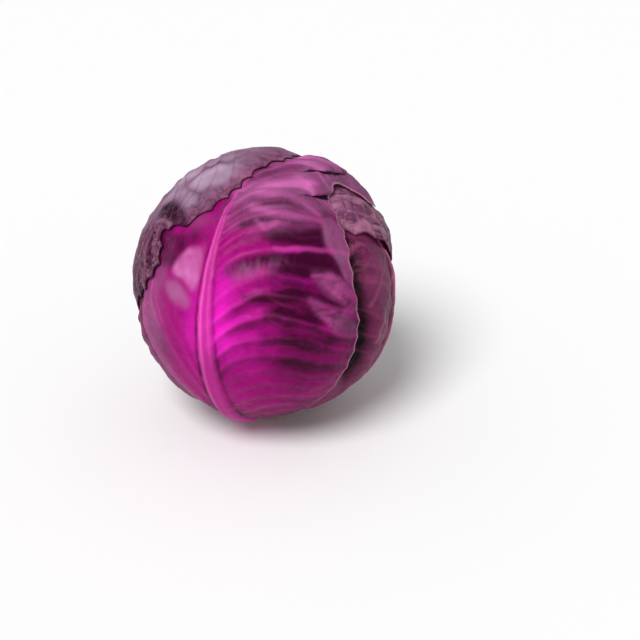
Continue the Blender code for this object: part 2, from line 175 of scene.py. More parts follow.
def patch(dirs, lon, lat, width, height, turn=0.0):
    """A soft spot on the head, 1 at its middle, with these half sizes in degrees."""
    u, v = degrees_from(dirs, lon, lat, turn)
    return np.exp(-((u / width) ** 2) - (v / height) ** 2)


def closed_curve(points, steps):
    """A closed Catmull-Rom curve through the points, with this many samples between two of them."""
    points = np.asarray(points)
    a, b, c, d = (np.roll(points, shift, axis=0) for shift in (1, 0, -1, -2))
    rows = []
    for t in np.linspace(0, 1, steps, endpoint=False):
        bend = (2 * a - 5 * b + 4 * c - d) * t**2 + (3 * b - a - 3 * c + d) * t**3
        rows.append(0.5 * (2 * b + (c - a) * t + bend))
    return np.stack(rows, axis=1).reshape(-1, 2)


def evenly(points, step, closed=False):
    """Points along a polyline at about this spacing."""
    points = np.vstack([points, points[:1]]) if closed else points
    run = np.concatenate([[0.0], np.cumsum(np.linalg.norm(np.diff(points, axis=0), axis=1))])
    count = max(2, round(run[-1] / step) + 1)
    at = np.linspace(0, run[-1], count)[: -1 if closed else None]
    return np.stack([np.interp(at, run, points[:, i]) for i in (0, 1)], axis=-1)


def within(corners, x, y):
    """Whether each place lies inside a polygon, by how often a line from it crosses the sides."""
    ax, ay = corners.T
    bx, by = np.roll(corners, -1, axis=0).T
    slope = (bx - ax) / np.where(by == ay, 1e-12, by - ay)
    x, y = x[:, None], y[:, None]
    crossed = ((ay > y) != (by > y)) & (x < ax + (y - ay) * slope)
    return crossed.sum(axis=-1) % 2 == 1


def lattice(cells, seed):
    """A repeatable random number from 0 to 1 for each whole-numbered cell."""
    a = cells.astype(np.int64)
    n = a[..., 0] * 374761393 + a[..., 1] * 668265263 + a[..., 2] * 2147483647 + seed * 144665
    n = (n ^ (n >> 13)) * 1274126177
    return ((n ^ (n >> 16)) & 0xFFFFFF) / float(0xFFFFFF)


def noise(places, size, seed, octaves=2):
    """Smooth random values around 0, from -1 to 1, that change over `size` metres."""
    total, weight = np.zeros(places.shape[:-1]), 0.0
    for octave in range(octaves):
        p = places / size * 2**octave + 57.31 * seed
        cell = np.floor(p)
        f = smoothstep(p - cell)
        value = np.zeros(places.shape[:-1])
        for corner in range(8):
            step = np.array([corner & 1, corner >> 1 & 1, corner >> 2 & 1])
            share = np.prod(np.where(step, f, 1 - f), axis=-1)
            value += share * lattice(cell + step, seed + 17 * octave)
        total += (2 * value - 1) * 0.5**octave
        weight += 0.5**octave
    return total / weight


def crests(places, size, seed, sharpness=0.4):
    """Sharp winding ridges about `size` metres apart: 1 on a ridge, 0 away from it."""
    return np.clip(1 - np.abs(noise(places, size, seed, 3)) / sharpness, 0, 1) ** 1.4


def stroke(dirs, points, width):
    """A line drawn on the head through (lon, lat) points, 1 on it and fading over `width` degrees."""
    near = np.zeros(len(dirs))
    spots = direction(*np.array(points, float).T)
    for a, b in zip(spots, spots[1:]):
        run = b - a
        share = np.clip(((dirs - a) @ run) / (run @ run), 0, 1)
        off = np.degrees(np.linalg.norm(dirs - a - share[:, None] * run, axis=1))
        near = np.maximum(near, bell(off / width))
    return near


def drawn(dirs, strokes, together=np.max):
    """Several strokes together: (lon, lat) points, width and strength of each."""
    return together([strength * stroke(dirs, points, width) for points, width, strength in strokes], axis=0)


def spotted(dirs, spots):
    """Several soft spots added up: the place and half sizes of each, and its strength."""
    return sum(strength * patch(dirs, *spot) for spot, strength in spots)


def area(dirs, points, soft=4.0):
    """The share of an area inside a closed curve through (lon, lat) points: 1 in it, fading over
    `soft` degrees across its edge."""
    curve = closed_curve(points, 6)
    off = np.degrees(np.arccos(np.clip(np.max(dirs @ direction(*curve.T).T, axis=-1), -1, 1)))
    return smoothstep(0.5 + np.where(within(curve, *lon_lat(dirs)), off, -off) / soft)


class Ribs:
    """The side ribs on one half of a leaf. Each leaves the midrib at its degrees in `starts`, climbs by
    `climb` degrees, levels out over `turn` degrees sideways and then falls by `fall` degrees a degree.
    `shares` say how strongly each rib shows, from the lowest up."""

    def __init__(self, starts, climb, turn, height, fall=0.0, shares=(1.0,)):
        self.starts = np.array(starts, float)
        self.climb = climb
        self.turn = turn
        self.height = height
        self.fall = fall
        self.shares = shares
        self.pitch = math.radians(np.mean(np.diff(starts))) * HEAD_RADIUS

    def phase(self, across, up):
        """The number of the rib at each place, and how far on towards the next it lies."""
        climbed = self.climb * (1 - np.exp(-np.maximum(across - RIB_ROOT, 0) / self.turn))
        beyond = np.maximum(across - FALL_FROM, 0)
        steeper = 1 + 1.7 * smoothstep((up - 40) / 20)
        fallen = self.fall * steeper * beyond**2 / (beyond + FALL_EASE)
        return np.interp(up - climbed + fallen, self.starts, np.arange(len(self.starts)))


def spaced(first, pitch, count):
    """Starts of side ribs at an uneven pitch."""
    n = np.arange(count)
    return first + pitch * (n + 0.22 * np.sin(2.4 * n + first))


def rib_degrees(across, along, latitude):
    """Degrees up a leaf for its side ribs: those of the midrib near it, and latitude further out."""
    level = smoothstep((np.abs(across) - 12) / 26) * (1 - smoothstep((np.abs(along) - 60) / 30))
    return along + (latitude - along) * level


class Leaf:
    """One wrapper leaf. `margin` lists points of its edge from the base up the right side, over the
    tip and down the left side. `creases` are (lon, lat, lon, lat, height): pleats that deepen from
    the first point to the second, their raised lip on the left of that line. `lifts` are
    (lon, lat, spread, height), where the edge stands off the head."""

    def __init__(
        self, name, centre, midrib, margin, right, left, sway=0.0, tooth=0.0015, creases=(), lifts=()
    ):
        lon, lat = (math.radians(x) for x in centre)
        self.name = name
        self.centre = direction(*centre)
        self.rightward = np.array([math.cos(lon), math.sin(lon), 0.0])
        self.tipward = np.array(
            [-math.sin(lat) * math.sin(lon), math.sin(lat) * math.cos(lon), math.cos(lat)]
        )
        self.out = direction(midrib, 0)
        self.side = np.cross([0.0, 0.0, 1.0], self.out)
        self.right, self.left = right, left
        self.sway = sway
        self.creases, self.lifts = creases, lifts
        self.edge = self._edge(margin, tooth)
        self.edge_dirs = self.unit(self.edge)

    def flat(self, dirs):
        """Where directions fall on the leaf laid flat, by distance and bearing from its centre."""
        turn = np.arccos(np.clip(dirs @ self.centre, -1.0, 1.0))
        grow = HEAD_RADIUS * turn / np.maximum(np.sin(turn), 1e-6)
        return np.stack([dirs @ self.rightward, dirs @ self.tipward], axis=-1) * grow[..., None]

    def unit(self, flat):
        """The directions of points on the flat leaf."""
        reach = np.maximum(np.linalg.norm(flat, axis=-1), 1e-9)
        turn = reach / HEAD_RADIUS
        x, y = flat[..., 0] / reach, flat[..., 1] / reach
        around = x[..., None] * self.rightward + y[..., None] * self.tipward
        return np.cos(turn)[..., None] * self.centre + np.sin(turn)[..., None] * around

    def _edge(self, margin, tooth):
        """The toothed edge on the flat leaf, counter-clockwise: cusps with hollows between them."""
        lon, lat = np.array(margin, float).T
        curve = evenly(closed_curve(self.flat(direction(lon, lat)), 24), EDGE_SAMPLE, closed=True)
        run = EDGE_SAMPLE * np.arange(len(curve))
        phase = math.pi * run / TOOTH_PITCH
        for drift, length in TOOTH_DRIFTS:
            phase += drift * np.sin(run / length)
        latitude = lon_lat(self.unit(curve))[1]
        toothed = smoothstep((latitude - LOWEST_TOOTH) / 20)
        depth = tooth * np.abs(np.sin(phase)) * toothed
        nicks = noise(np.stack([run, 0 * run, 0 * run], axis=-1), NICK_SIZE, len(self.name), 3)
        depth = depth + NICK_DEPTH * np.clip(nicks, 0, 1) * toothed
        tangent = np.roll(curve, -1, axis=0) - np.roll(curve, 1, axis=0)
        tangent /= np.linalg.norm(tangent, axis=1)[:, None]
        return curve + depth[:, None] * np.stack([-tangent[:, 1], tangent[:, 0]], axis=-1)

    def inside(self, dirs):
        """Distance from the edge in metres, positive inside it."""
        found = np.empty(len(dirs))
        for first in range(0, len(dirs), BLOCK):
            part = dirs[first : first + BLOCK]
            near = np.max(part @ self.edge_dirs.T, axis=-1)
            distance = HEAD_RADIUS * np.arccos(np.clip(near, -1.0, 1.0))
            here = within(self.edge, *self.flat(part).T)
            found[first : first + BLOCK] = np.where(here, distance, -distance)
        return found

    def on_midrib(self, dirs):
        """Degrees sideways from the midrib, and degrees up it from the widest part of the head."""
        across = np.degrees(np.arcsin(np.clip(dirs @ self.side, -1.0, 1.0)))
        along = np.degrees(np.arctan2(dirs[..., 2], dirs @ self.out))
        along = np.where(along < -100, along + 360, along)
        return across - self.sway * np.sin(np.radians(along * MIDRIB_SWAY_RATE)), along

    def fullness(self, along):
        """The midrib's fullness: 0 at its tip, growing to nearly 1 at the leaf's base."""
        return np.clip((MIDRIB_END - along) / MIDRIB_SPAN, 0, 1)

    def midrib_width(self, along):
        """Half the midrib's width in metres."""
        return MIDRIB_TIP_WIDTH + (MIDRIB_BASE_WIDTH - MIDRIB_TIP_WIDTH) * self.fullness(along)

    def crease_place(self, crease, dirs):
        """The share of the way along a crease, the distance above its lip on the flat leaf, and which
        way is up from the lip there."""
        start, end = self.flat(direction(np.array(crease[0:4:2]), np.array(crease[1:4:2])))
        length = np.linalg.norm(end - start)
        run = (end - start) / length
        upward = np.array([-run[1], run[0]])
        flat = self.flat(dirs) - start
        wander = CREASE_WANDER * noise(dirs * HEAD_RADIUS, 0.011, 5)
        return flat @ run / length, flat @ upward + wander, upward


RIGHT_LEAF = Leaf(
    "right_leaf", (75, 0), 78,
    margin=(
        (75, -76), (95, -75), (114, -70), (132, -54), (143, -25), (145, 0), (140, 25), (120, 42),
        (90, 52), (60, 54), (35, 40), (22, 15), (18, -10), (17, -35), (20, -55), (34, -70), (54, -75.5),
    ),
    right=Ribs(spaced(-58, 13, 10), 44, 26, 0.0011),
    left=Ribs(spaced(-58, 13, 10), 44, 26, 0.0011),
)
LEFT_LEAF = Leaf(
    "left_leaf", (-85, -12), -88,
    margin=(
        (-85, -76), (-66, -75.5), (-46, -71), (-26, -58), (-18, -42), (-20, -20), (-30, 5), (-43, 25),
        (-65, 38), (-90, 42), (-120, 35), (-140, 15), (-148, -8), (-142, -35), (-130, -56),
        (-118, -70), (-104, -75.5),
    ),
    right=Ribs(spaced(-58, 12, 9), 40, 22, 0.0012),
    left=Ribs(spaced(-58, 12, 9), 40, 22, 0.0011),
)
SHOULDER_LEAF = Leaf(
    "shoulder_leaf", (128, 12), 138,
    margin=(
        (140, -76), (160, -75.5), (178, -70), (-176, -55), (-172, -33), (-168, -8), (-166, 15),
        (-166, 40), (-160, 60), (-130, 76), (60, 80), (44, 66), (45, 50), (56, 39.5), (66, 34.5),
        (75, 27), (87, 16), (99, 2), (108, -15), (114, -34), (114, -54), (104, -69), (120, -75.5),
    ),
    right=Ribs(spaced(-58, 12, 11), 40, 24, 0.0011),
    left=Ribs(spaced(-58, 12, 11), 40, 24, 0.0012),
    lifts=((76, 28, 9, 0.0020), (92, 11, 9, 0.0010)),
)
FRONT_LEAF = Leaf(
    "front_leaf", (-22, 28), -23.5,
    margin=(
        (-28, -76), (-8, -75.5), (10, -69), (26, -54), (36, -34), (42, -14), (44, 2), (44.5, 16),
        (47, 29), (50, 38), (53, 46), (58, 53.5), (66, 58.5), (77, 58.5), (86, 53.5), (91, 46),
        (96, 38), (106, 32), (121, 34), (134, 44), (150, 57), (-165, 67), (-135, 61), (-112, 48), (-95, 33),
        (-82, 17), (-72, 3), (-66, -10), (-59, -22), (-50, -33), (-43, -46), (-42, -58), (-48, -68),
        (-42, -75),
    ),
    right=Ribs(
        (
            -58, -50, -41, -33, -25, -17, -9, -1, 7.5, 15.5, 28, 39.5, 46, 53, 61, 70, 80, 89, 97,
            106, 114, 124,
        ),
        18, 11, 0.0013, fall=0.55,
        shares=(
            0.1, 0.1, 0.1, 0.15, 0.2, 0.35, 0.6, 1, 1, 0.55, 0.9, 0.5, 0.7, 1, 0.5, 0.4, 0.3,
            0.4, 0.5, 0.4, 0.5, 0.4,
        ),
    ),
    left=Ribs(spaced(-52, 14, 10), 72, 28, 0.0009),
    sway=-1.4,
    creases=((34, 63, 70, 58, 0.0032), (62, 73, 104, 59, 0.0026)),
    lifts=((54, 38, 12, 0.0012), (44, 4, 14, 0.0012)),
)
CAP_LEAF = Leaf(
    "cap_leaf", (-148, 20), -145,
    margin=(
        (-145, -76), (-125, -75.5), (-110, -70), (-102, -54), (-94, -36), (-86, -19), (-77, -4),
        (-66, 6), (-59, 16), (-55, 24), (-58, 31), (-64, 36.5), (-59, 40), (-51, 43.5), (-44, 49.5),
        (-36, 59), (-27, 69), (-20, 79), (30, 86), (122, 76), (145, 60), (149, 40), (149, 20),
        (153, 0), (161, -25), (168, -48), (172, -66), (-176, -74), (-160, -76),
    ),
    right=Ribs(spaced(-56, 13, 11), 46, 24, 0.0010),
    left=Ribs(spaced(-56, 13, 11), 46, 24, 0.0010),
    tooth=0.0030,
    creases=((-71, 38, -67, 20, 0.0014), (-82, 38, -78, 16, 0.0010)),
)
# From the heart outwards
LEAVES = (RIGHT_LEAF, LEFT_LEAF, SHOULDER_LEAF, FRONT_LEAF, CAP_LEAF)


def leaves_over(name):
    """The leaves that lie further out than this one."""
    names = [leaf.name for leaf in LEAVES]
    return LEAVES[names.index(name) + 1 :]


def hollow_depth(dirs):
    """How deep the hollow behind the front leaf's free edge is."""
    low, high, half_width, depth = HOLLOW
    lon, lat = lon_lat(dirs)
    middle = np.interp(lat, (low[1], high[1]), (low[0], high[0]))
    sideways = (lon - middle) * np.cos(np.radians(lat)) / half_width
    ends = smoothstep((lat - low[1]) / 16) * smoothstep((high[1] + 6 - lat) / 12)
    return depth * bell(sideways) * ends


def layer_under(name, dirs):
    """The radius of the head under a leaf, and how free the leaf is of others that lie on it."""
    radius, free = np.full(len(dirs), HEAD_RADIUS), np.ones(len(dirs))
    for lon, lat, spread, height in SWELLINGS:
        radius += height * bell(degrees_between(dirs, direction(lon, lat)) / spread)
    for leaf in leaves_over(name):
        inside = leaf.inside(dirs)
        radius -= (BLADE + LEAF_GAP) * smoothstep(1 + inside / STEP_WIDTH)
        free *= 1 - smoothstep(1 + inside / RIB_FADE)
    if name in HOLLOW_OWNERS:
        radius -= hollow_depth(dirs)
    return radius, free


def leaf_sheet(leaf, step):
    """Points and triangles of the leaf laid flat, coarser where other leaves hide it."""
    outline = evenly(leaf.edge, step, closed=True)
    count = len(outline)
    low, high = outline.min(axis=0), outline.max(axis=0)
    y = np.arange(low[1], high[1], step * math.sqrt(3) / 2)
    x = np.arange(low[0], high[0], step)
    columns, rows = np.meshgrid(np.arange(len(x)), np.arange(len(y)))
    spots = np.stack([x[columns] + (rows % 2) * step / 2, y[rows]], axis=-1).reshape(-1, 2)
    coarse = ((rows % 4 == 0) & (columns % 4 == 0)) | ((rows % 4 == 2) & (columns % 4 == 1))
    coarse = coarse.reshape(-1)
    dirs = leaf.unit(spots)
    kept = leaf.inside(dirs) > 0.6 * step
    spots, coarse, dirs = spots[kept], coarse[kept], dirs[kept]
    over = np.full(len(dirs), -1.0)
    for upper in leaves_over(leaf.name):
        over = np.maximum(over, upper.inside(dirs))
    spots = spots[coarse | (over < HIDDEN_DEPTH)]
    vectors = [Vector(p) for p in np.vstack([outline, spots])]
    edges = [(i, (i + 1) % count) for i in range(count)]
    found = delaunay_2d_cdt(vectors, edges, [list(range(count))], 1, 1e-7)
    return np.array([p[:] for p in found[0]]), found[2]


def side_ribs(leaf, dirs, across, along):
    """Height, crest line, painted shade just below each crest and number of the side ribs at each place on
    both halves.
    """
    places = dirs * HEAD_RADIUS
    up = rib_degrees(across, along, lon_lat(dirs)[1])
    wander = 0.24 * noise(places, 0.026, 3) + 0.10 * noise(places, 0.009, 4)
    height, crest, valley, number = (np.zeros(len(dirs)) for _ in range(4))
    for half, sign in ((leaf.right, 1), (leaf.left, -1)):
        out = np.maximum(sign * across, 0)
        here = sign * across > 0
        turns = half.phase(out, up) + wander * smoothstep(out / 12)
        share = np.interp(turns, np.arange(len(half.shares)), half.shares)
        off = np.abs(turns - np.round(turns)) * half.pitch
        fork = turns + 0.5 * smoothstep((out - 20) / 14)
        fork_off = np.abs(fork - np.round(fork)) * half.pitch
        width = RIB_LINE[0] + (RIB_LINE[1] - RIB_LINE[0]) * smoothstep(out / 50)
        narrow = bell(off / width)
        forked = 0.6 * bell(fork_off / (0.8 * width)) * smoothstep((out - 22) / 8)
        line = np.maximum(narrow, forked) * np.exp(-out / 60)
        line = line * share * np.clip(0.65 + 0.9 * noise(places, 0.018, 21), 0.1, 1)
        broad = (0.5 + 0.5 * np.cos(2 * math.pi * turns)) ** 1.6 * np.exp(-out / SIDE_RIB_FADE)
        below = 1 - (turns - np.floor(turns))
        crest = np.where(here, line, crest)
        height = np.where(here, half.height * (0.4 + 0.6 * share) * (broad + 0.3 * line), height)
        # Painted shade: darkest just below each crest, where the rib would shade the blade from light above
        valley = np.where(here, share * np.sin(math.pi * below**0.6) ** 1.6, valley)
        number = np.where(here, turns, number)
    return height, crest, valley, number


def midrib_shape(leaf, across, along):
    """Height of the midrib, how pale it is, and the painted shade of the dark lines along it: two soft bars
    side by side, the left one paler with a painted highlight, that join at the base."""
    full = leaf.fullness(along)
    width = leaf.midrib_width(along) * (0.45 + 0.52 * smoothstep((full - 0.18) / 0.36))
    sideways = np.radians(across) * HEAD_RADIUS / width
    away = np.abs(sideways)
    parted = 1 - smoothstep((full - 0.66) / 0.22)
    height = (THINNEST_RIB + (THICKEST_RIB - THINNEST_RIB) * full) * np.clip(1 - away**2, 0, 1) ** 0.7
    height = height * (1 - 0.30 * parted * bell((sideways - 0.12) / 0.26))
    # The pale bars, the left one also a painted highlight, and the painted shade along both sides
    bars, midrib_side_shade = (
        sum(strength * bell((sideways - place) / broad) for place, broad, strength in lines)
        for lines in (MIDRIB_BARS, MIDRIB_SHADOWS)
    )
    bars *= 1 - 0.55 * smoothstep((full - 0.47) / 0.14)
    whole = smoothstep((1.2 - away) / 0.5)
    pale = 0.38 * whole * (1 - parted) + parted * np.maximum(bars, 0.22 * whole)
    shown = smoothstep(full / 0.22)
    return height, np.clip(pale, 0, 1) * shown, midrib_side_shade * shown * smoothstep((full - 0.25) / 0.15)


def pleats(leaf, flat, dirs, free):
    """How far the creases lift and slide each place, and how dark the painted shade in the gap under each
    lip is.
    """
    lift, shade = np.zeros(len(dirs)), np.zeros(len(dirs))
    slide = np.zeros((len(dirs), 3))
    for crease in leaf.creases:
        height = crease[4]
        share, above, upward = leaf.crease_place(crease, dirs)
        ends = smoothstep(share / 0.7) * smoothstep((PLEAT_RUN_OUT - share) / 0.5)
        lift += height * ends * np.where(above > 0, np.exp(-above / PLEAT_BACK), np.exp(above / PLEAT_LIP))
        uphill = leaf.unit(flat + upward * 1e-4) - dirs
        uphill /= np.linalg.norm(uphill, axis=1)[:, None]
        lean = np.where(above > 0, np.exp(-above / PLEAT_LEAN[0]), np.exp(above / PLEAT_LEAN[1])) * ends
        slide -= uphill * (PLEAT_OVERHANG * height * lean * free)[:, None]
        # Painted shade: a dark band drawn just below the overhanging lip, about this wide
        gap = PLEAT_GAP_SHADE[0] + PLEAT_GAP_SHADE[1] * ends
        below = above + PLEAT_OVERHANG * height * ends + 0.65 * gap
        gap_shade_share = smoothstep(share / 0.45) * smoothstep((1.35 - share) / 0.35)
        gap_shade_share = gap_shade_share * smoothstep((height - SHALLOW_CREASE) / 0.0015)
        shade = np.maximum(shade, gap_shade_share * np.exp(-((below / gap) ** 4)))
    return lift, slide, shade


def leaf_measures(leaf, flat, sizes):
    """Every height, thickness and colour weight of the leaf at these points."""
    dirs = leaf.unit(flat)
    places = dirs * HEAD_RADIUS
    radius, free = layer_under(leaf.name, dirs)
    inside = leaf.inside(dirs)
    across, along = leaf.on_midrib(dirs)
    blade = BLADE - (BLADE - sizes.edge_thickness) * (1 - smoothstep(inside / EDGE_TAPER))

    middle, midrib_pale, midrib_side_shade = midrib_shape(leaf, across, along)
    side, crest, valley, number = side_ribs(leaf, dirs, across, along)
    rib_room = smoothstep(inside / RIB_END_FADE) * smoothstep((along - LOWEST_SIDE_RIB) / 25)
    grain = np.stack([0.05 * across, 1.5 * number, 0 * number], axis=-1)
    view = View(dirs, inside, across, along, valley, crest, noise(grain, 1.0, 33, 3))
    look = PLAIN_LOOK | LOOKS[leaf.name](view)
    look = {name: np.broadcast_to(value, len(dirs)) for name, value in look.items()}

    lift, slide, shade = pleats(leaf, flat, dirs, free)
    for lon, lat, spread, height in leaf.lifts:
        lift += height * bell(degrees_between(dirs, direction(lon, lat)) / spread)
    rim = 1 - smoothstep(inside / EDGE_REACH)
    lift += look["edge_lift"] * (1 + noise(places, 0.009, 11)) * rim
    lift += 0.0002 * noise(places, 0.0045, 8) * smoothstep(inside / 0.01) + look["relief"]
    ribs = np.maximum(middle, side * rib_room * look["rib_height"])
    rib_colour = crest * rib_room * look["veins"]
    on_midrib = 1 - 0.8 * np.clip(midrib_pale * 2, 0, 1)
    # No veins, wrinkles, bloom or pale tone where painted shade lies
    unshaded = 1 - np.clip(shade + midrib_side_shade, 0, 1)
    return {
        "towards": dirs,
        "height": radius - BLADE - look["droop"] * rim + lift * free,
        "thickness": blade + ribs * free,
        "slide": slide,
        "crumple": look["crumple"] * free * smoothstep(inside / 0.004),
        # Pale veins and lines, with painted highlights on the front leaf's upper fold crests
        "vein": np.clip(np.maximum(midrib_pale, rib_colour) + look["lines"], 0, 1) * unshaded,
        # The leaves' own darker tones together with painted shade; the painted shade in the gaps under
        # pleats goes above 1
        "dark": np.clip(look["dark"] * on_midrib + midrib_side_shade, 0, 1) + 1.8 * shade,
        "wrinkle": np.clip(look["wrinkle"], 0, 1) * unshaded,
        # Bloom, which on the front and right leaves also carries painted sheen and a painted soft highlight
        "bloom": np.clip(look["bloom"] * on_midrib, 0, 1) * unshaded,
        "pale": np.clip(look["pale"], 0, 1) * unshaded,
        "vivid": np.clip(look["vivid"], 0, 1),
        "edge": 1 - smoothstep((inside - EDGE_BAND[0]) / EDGE_BAND[1]),
        "across": across,
        "number": number,
    }


# What the look of a leaf is worked out from, at each of its points
View = namedtuple("View", "dirs inside across along valley crest grain")

# What a leaf's own look may change
PLAIN_LOOK = dict(
    veins=0.6, rib_height=1.0, lines=0.0, wrinkle=0.0, relief=0.0, crumple=0.0004,
    edge_lift=0.0004, droop=0.0005, dark=0.0, bloom=0.0, pale=0.0, vivid=0.0,
)

# Painted shadows in the dark troughs between the ribs, and light creases on the front leaf, which are
# raised a little: painted highlights on the upper fold crests and pale lines elsewhere: (lon, lat) points,
# half width, strength
FRONT_VALLEY_SHADOWS = (
    (((-15, 31), (-7, 34), (0, 36), (6, 37), (15, 37), (25, 34), (37, 29)), 2.8, 0.65),
    (((22, 36), (32, 32), (37, 29)), 3.6, 0.75),
    (((-7, 21), (2, 22), (14, 22), (26, 18), (34, 12)), 1.8, 0.75),
    (((3, 14), (9, 15), (19, 12), (24, 9)), 2.2, 0.70),
    (((7, 47), (18, 46), (34, 42)), 4.2, 0.90),
    (((-11, 51), (0, 54), (14, 53)), 2.2, 0.75),
    (((3, 61), (18, 62), (30, 58)), 2.0, 0.55),
    (((6, 32), (18, 31), (28, 28)), 3.4, 0.55),
    (((2, 4), (14, 3), (26, -2)), 3.6, 0.50),
    (((0, -6), (14, -8), (28, -14)), 4.0, 0.35),
)
FRONT_FOLDS_AND_HIGHLIGHTS = (
    (((-7, 59), (9, 56), (26, 53), (39, 49)), 1.7, 0.42),
    (((0, 66), (20, 65), (34, 60), (40, 52)), 1.9, 0.40),
    (((10, 71), (36, 70), (58, 65)), 1.8, 0.55),
    (((-3, 53), (3, 49), (10, 52)), 1.0, 0.35),
    (((7, 41), (12, 40), (19, 40), (32, 37)), 0.8, 0.35),
    (((24, 28), (37, 24)), 0.8, 0.22),
    (((33, 37), (47, 32)), 0.9, 0.30),
    (((21, 19), (26, 16), (30, 14), (40, 9)), 1.0, 0.22),
    (((28, 25), (32, 20), (37, 14)), 1.0, 0.20),
    (((22, 15), (25, 11), (32, 7)), 1.0, 0.16),
    (((-62, 24), (-58, 15), (-54, 8), (-48, 0)), 0.7, 0.35),
    (((-58, 21), (-52, 12), (-46, 3)), 0.6, 0.22),
    (((-66, 18), (-62, 2), (-54, -11), (-44, -23)), 0.7, 0.35),
    (((-70, 8), (-64, -9), (-54, -24)), 0.7, 0.30),
)

# Areas on the front leaf, as closed curves: painted shade in the hollow by the cap's edge, a painted sheen,
# and the rest of another tone
PALE_FAN = ((-44, 25), (-43, 31), (-39, 36), (-33, 38), (-30, 34), (-29, 27), (-31, 21), (-37, 24))
PAINTED_HOLLOW_SHADE = ((-68, 32), (-64, 38), (-53, 40), (-46, 40), (-42, 37), (-43, 30), (-49, 26), (-62, 24))
LILAC_SHEEN = ((-46, 19), (-42, 22), (-36, 20), (-32, 16), (-34, 13), (-41, 14))
MARGIN_CORNER = (
    (40, 48), (47, 48), (50, 39), (48, 28), (45, 20), (41, 21), (39, 28), (37, 34), (35, 39), (37, 44),
)
MARGIN_FOLD = ((24, 30), (32, 28), (38, 23), (43, 18), (43, 8), (36, 12), (30, 18), (26, 23))
LOW_MARGIN_FOLD = ((19, 20), (25, 18), (31, 13), (40, 7), (41, -2), (33, 1), (27, 9))

# Soft spots of more or less of a tone on the front leaf: (lon, lat, half width, half height), strength. The
# darker spots low on the underside and on the left limb are painted shade; negative strengths make it
# lighter
FRONT_DARK = (
    ((-38, 42, 5, 4), 0.60),
    ((-48, -14, 7, 16), 0.30),
    ((0, -50, 70, 12), 0.55),
    ((-15, -10, 10, 9), 0.30),
    ((17, 39, 7, 1.8), -0.35),
    ((-10, 23, 7, 7), -0.35),
)
FRONT_BLOOM = (
    ((-45, 49, 7, 4), 0.55),
    ((-58, 2, 10, 20), 1.00),
    ((-54, 21, 6, 5), 0.60),
    ((-53, -17, 8, 15), 0.90),
)
FRONT_VIVID = (((-29, 6, 5, 16), 0.45), ((17, 38.5, 8, 1.8), 0.40), ((14, 27, 9, 2.5), 0.40))
# Its lobe over the right limb, the brow above that, painted pale as a highlight, the glow by the midrib,
# and the dry left limb
FRONT_LOBE = (98, 44, 26, 16)
FRONT_BROW = (62, 68, 30, 4.5)
FRONT_GLOW = (-12, 9, 13, 17)
FRONT_DRY = (-62, 4, 7, 24)
# A glint with streaks: its lon, lat and turn, and its half width and half height, all in degrees
FRONT_SHEEN = (-3, 33, -14)
SHEEN_SIZE = (10, 3.4)


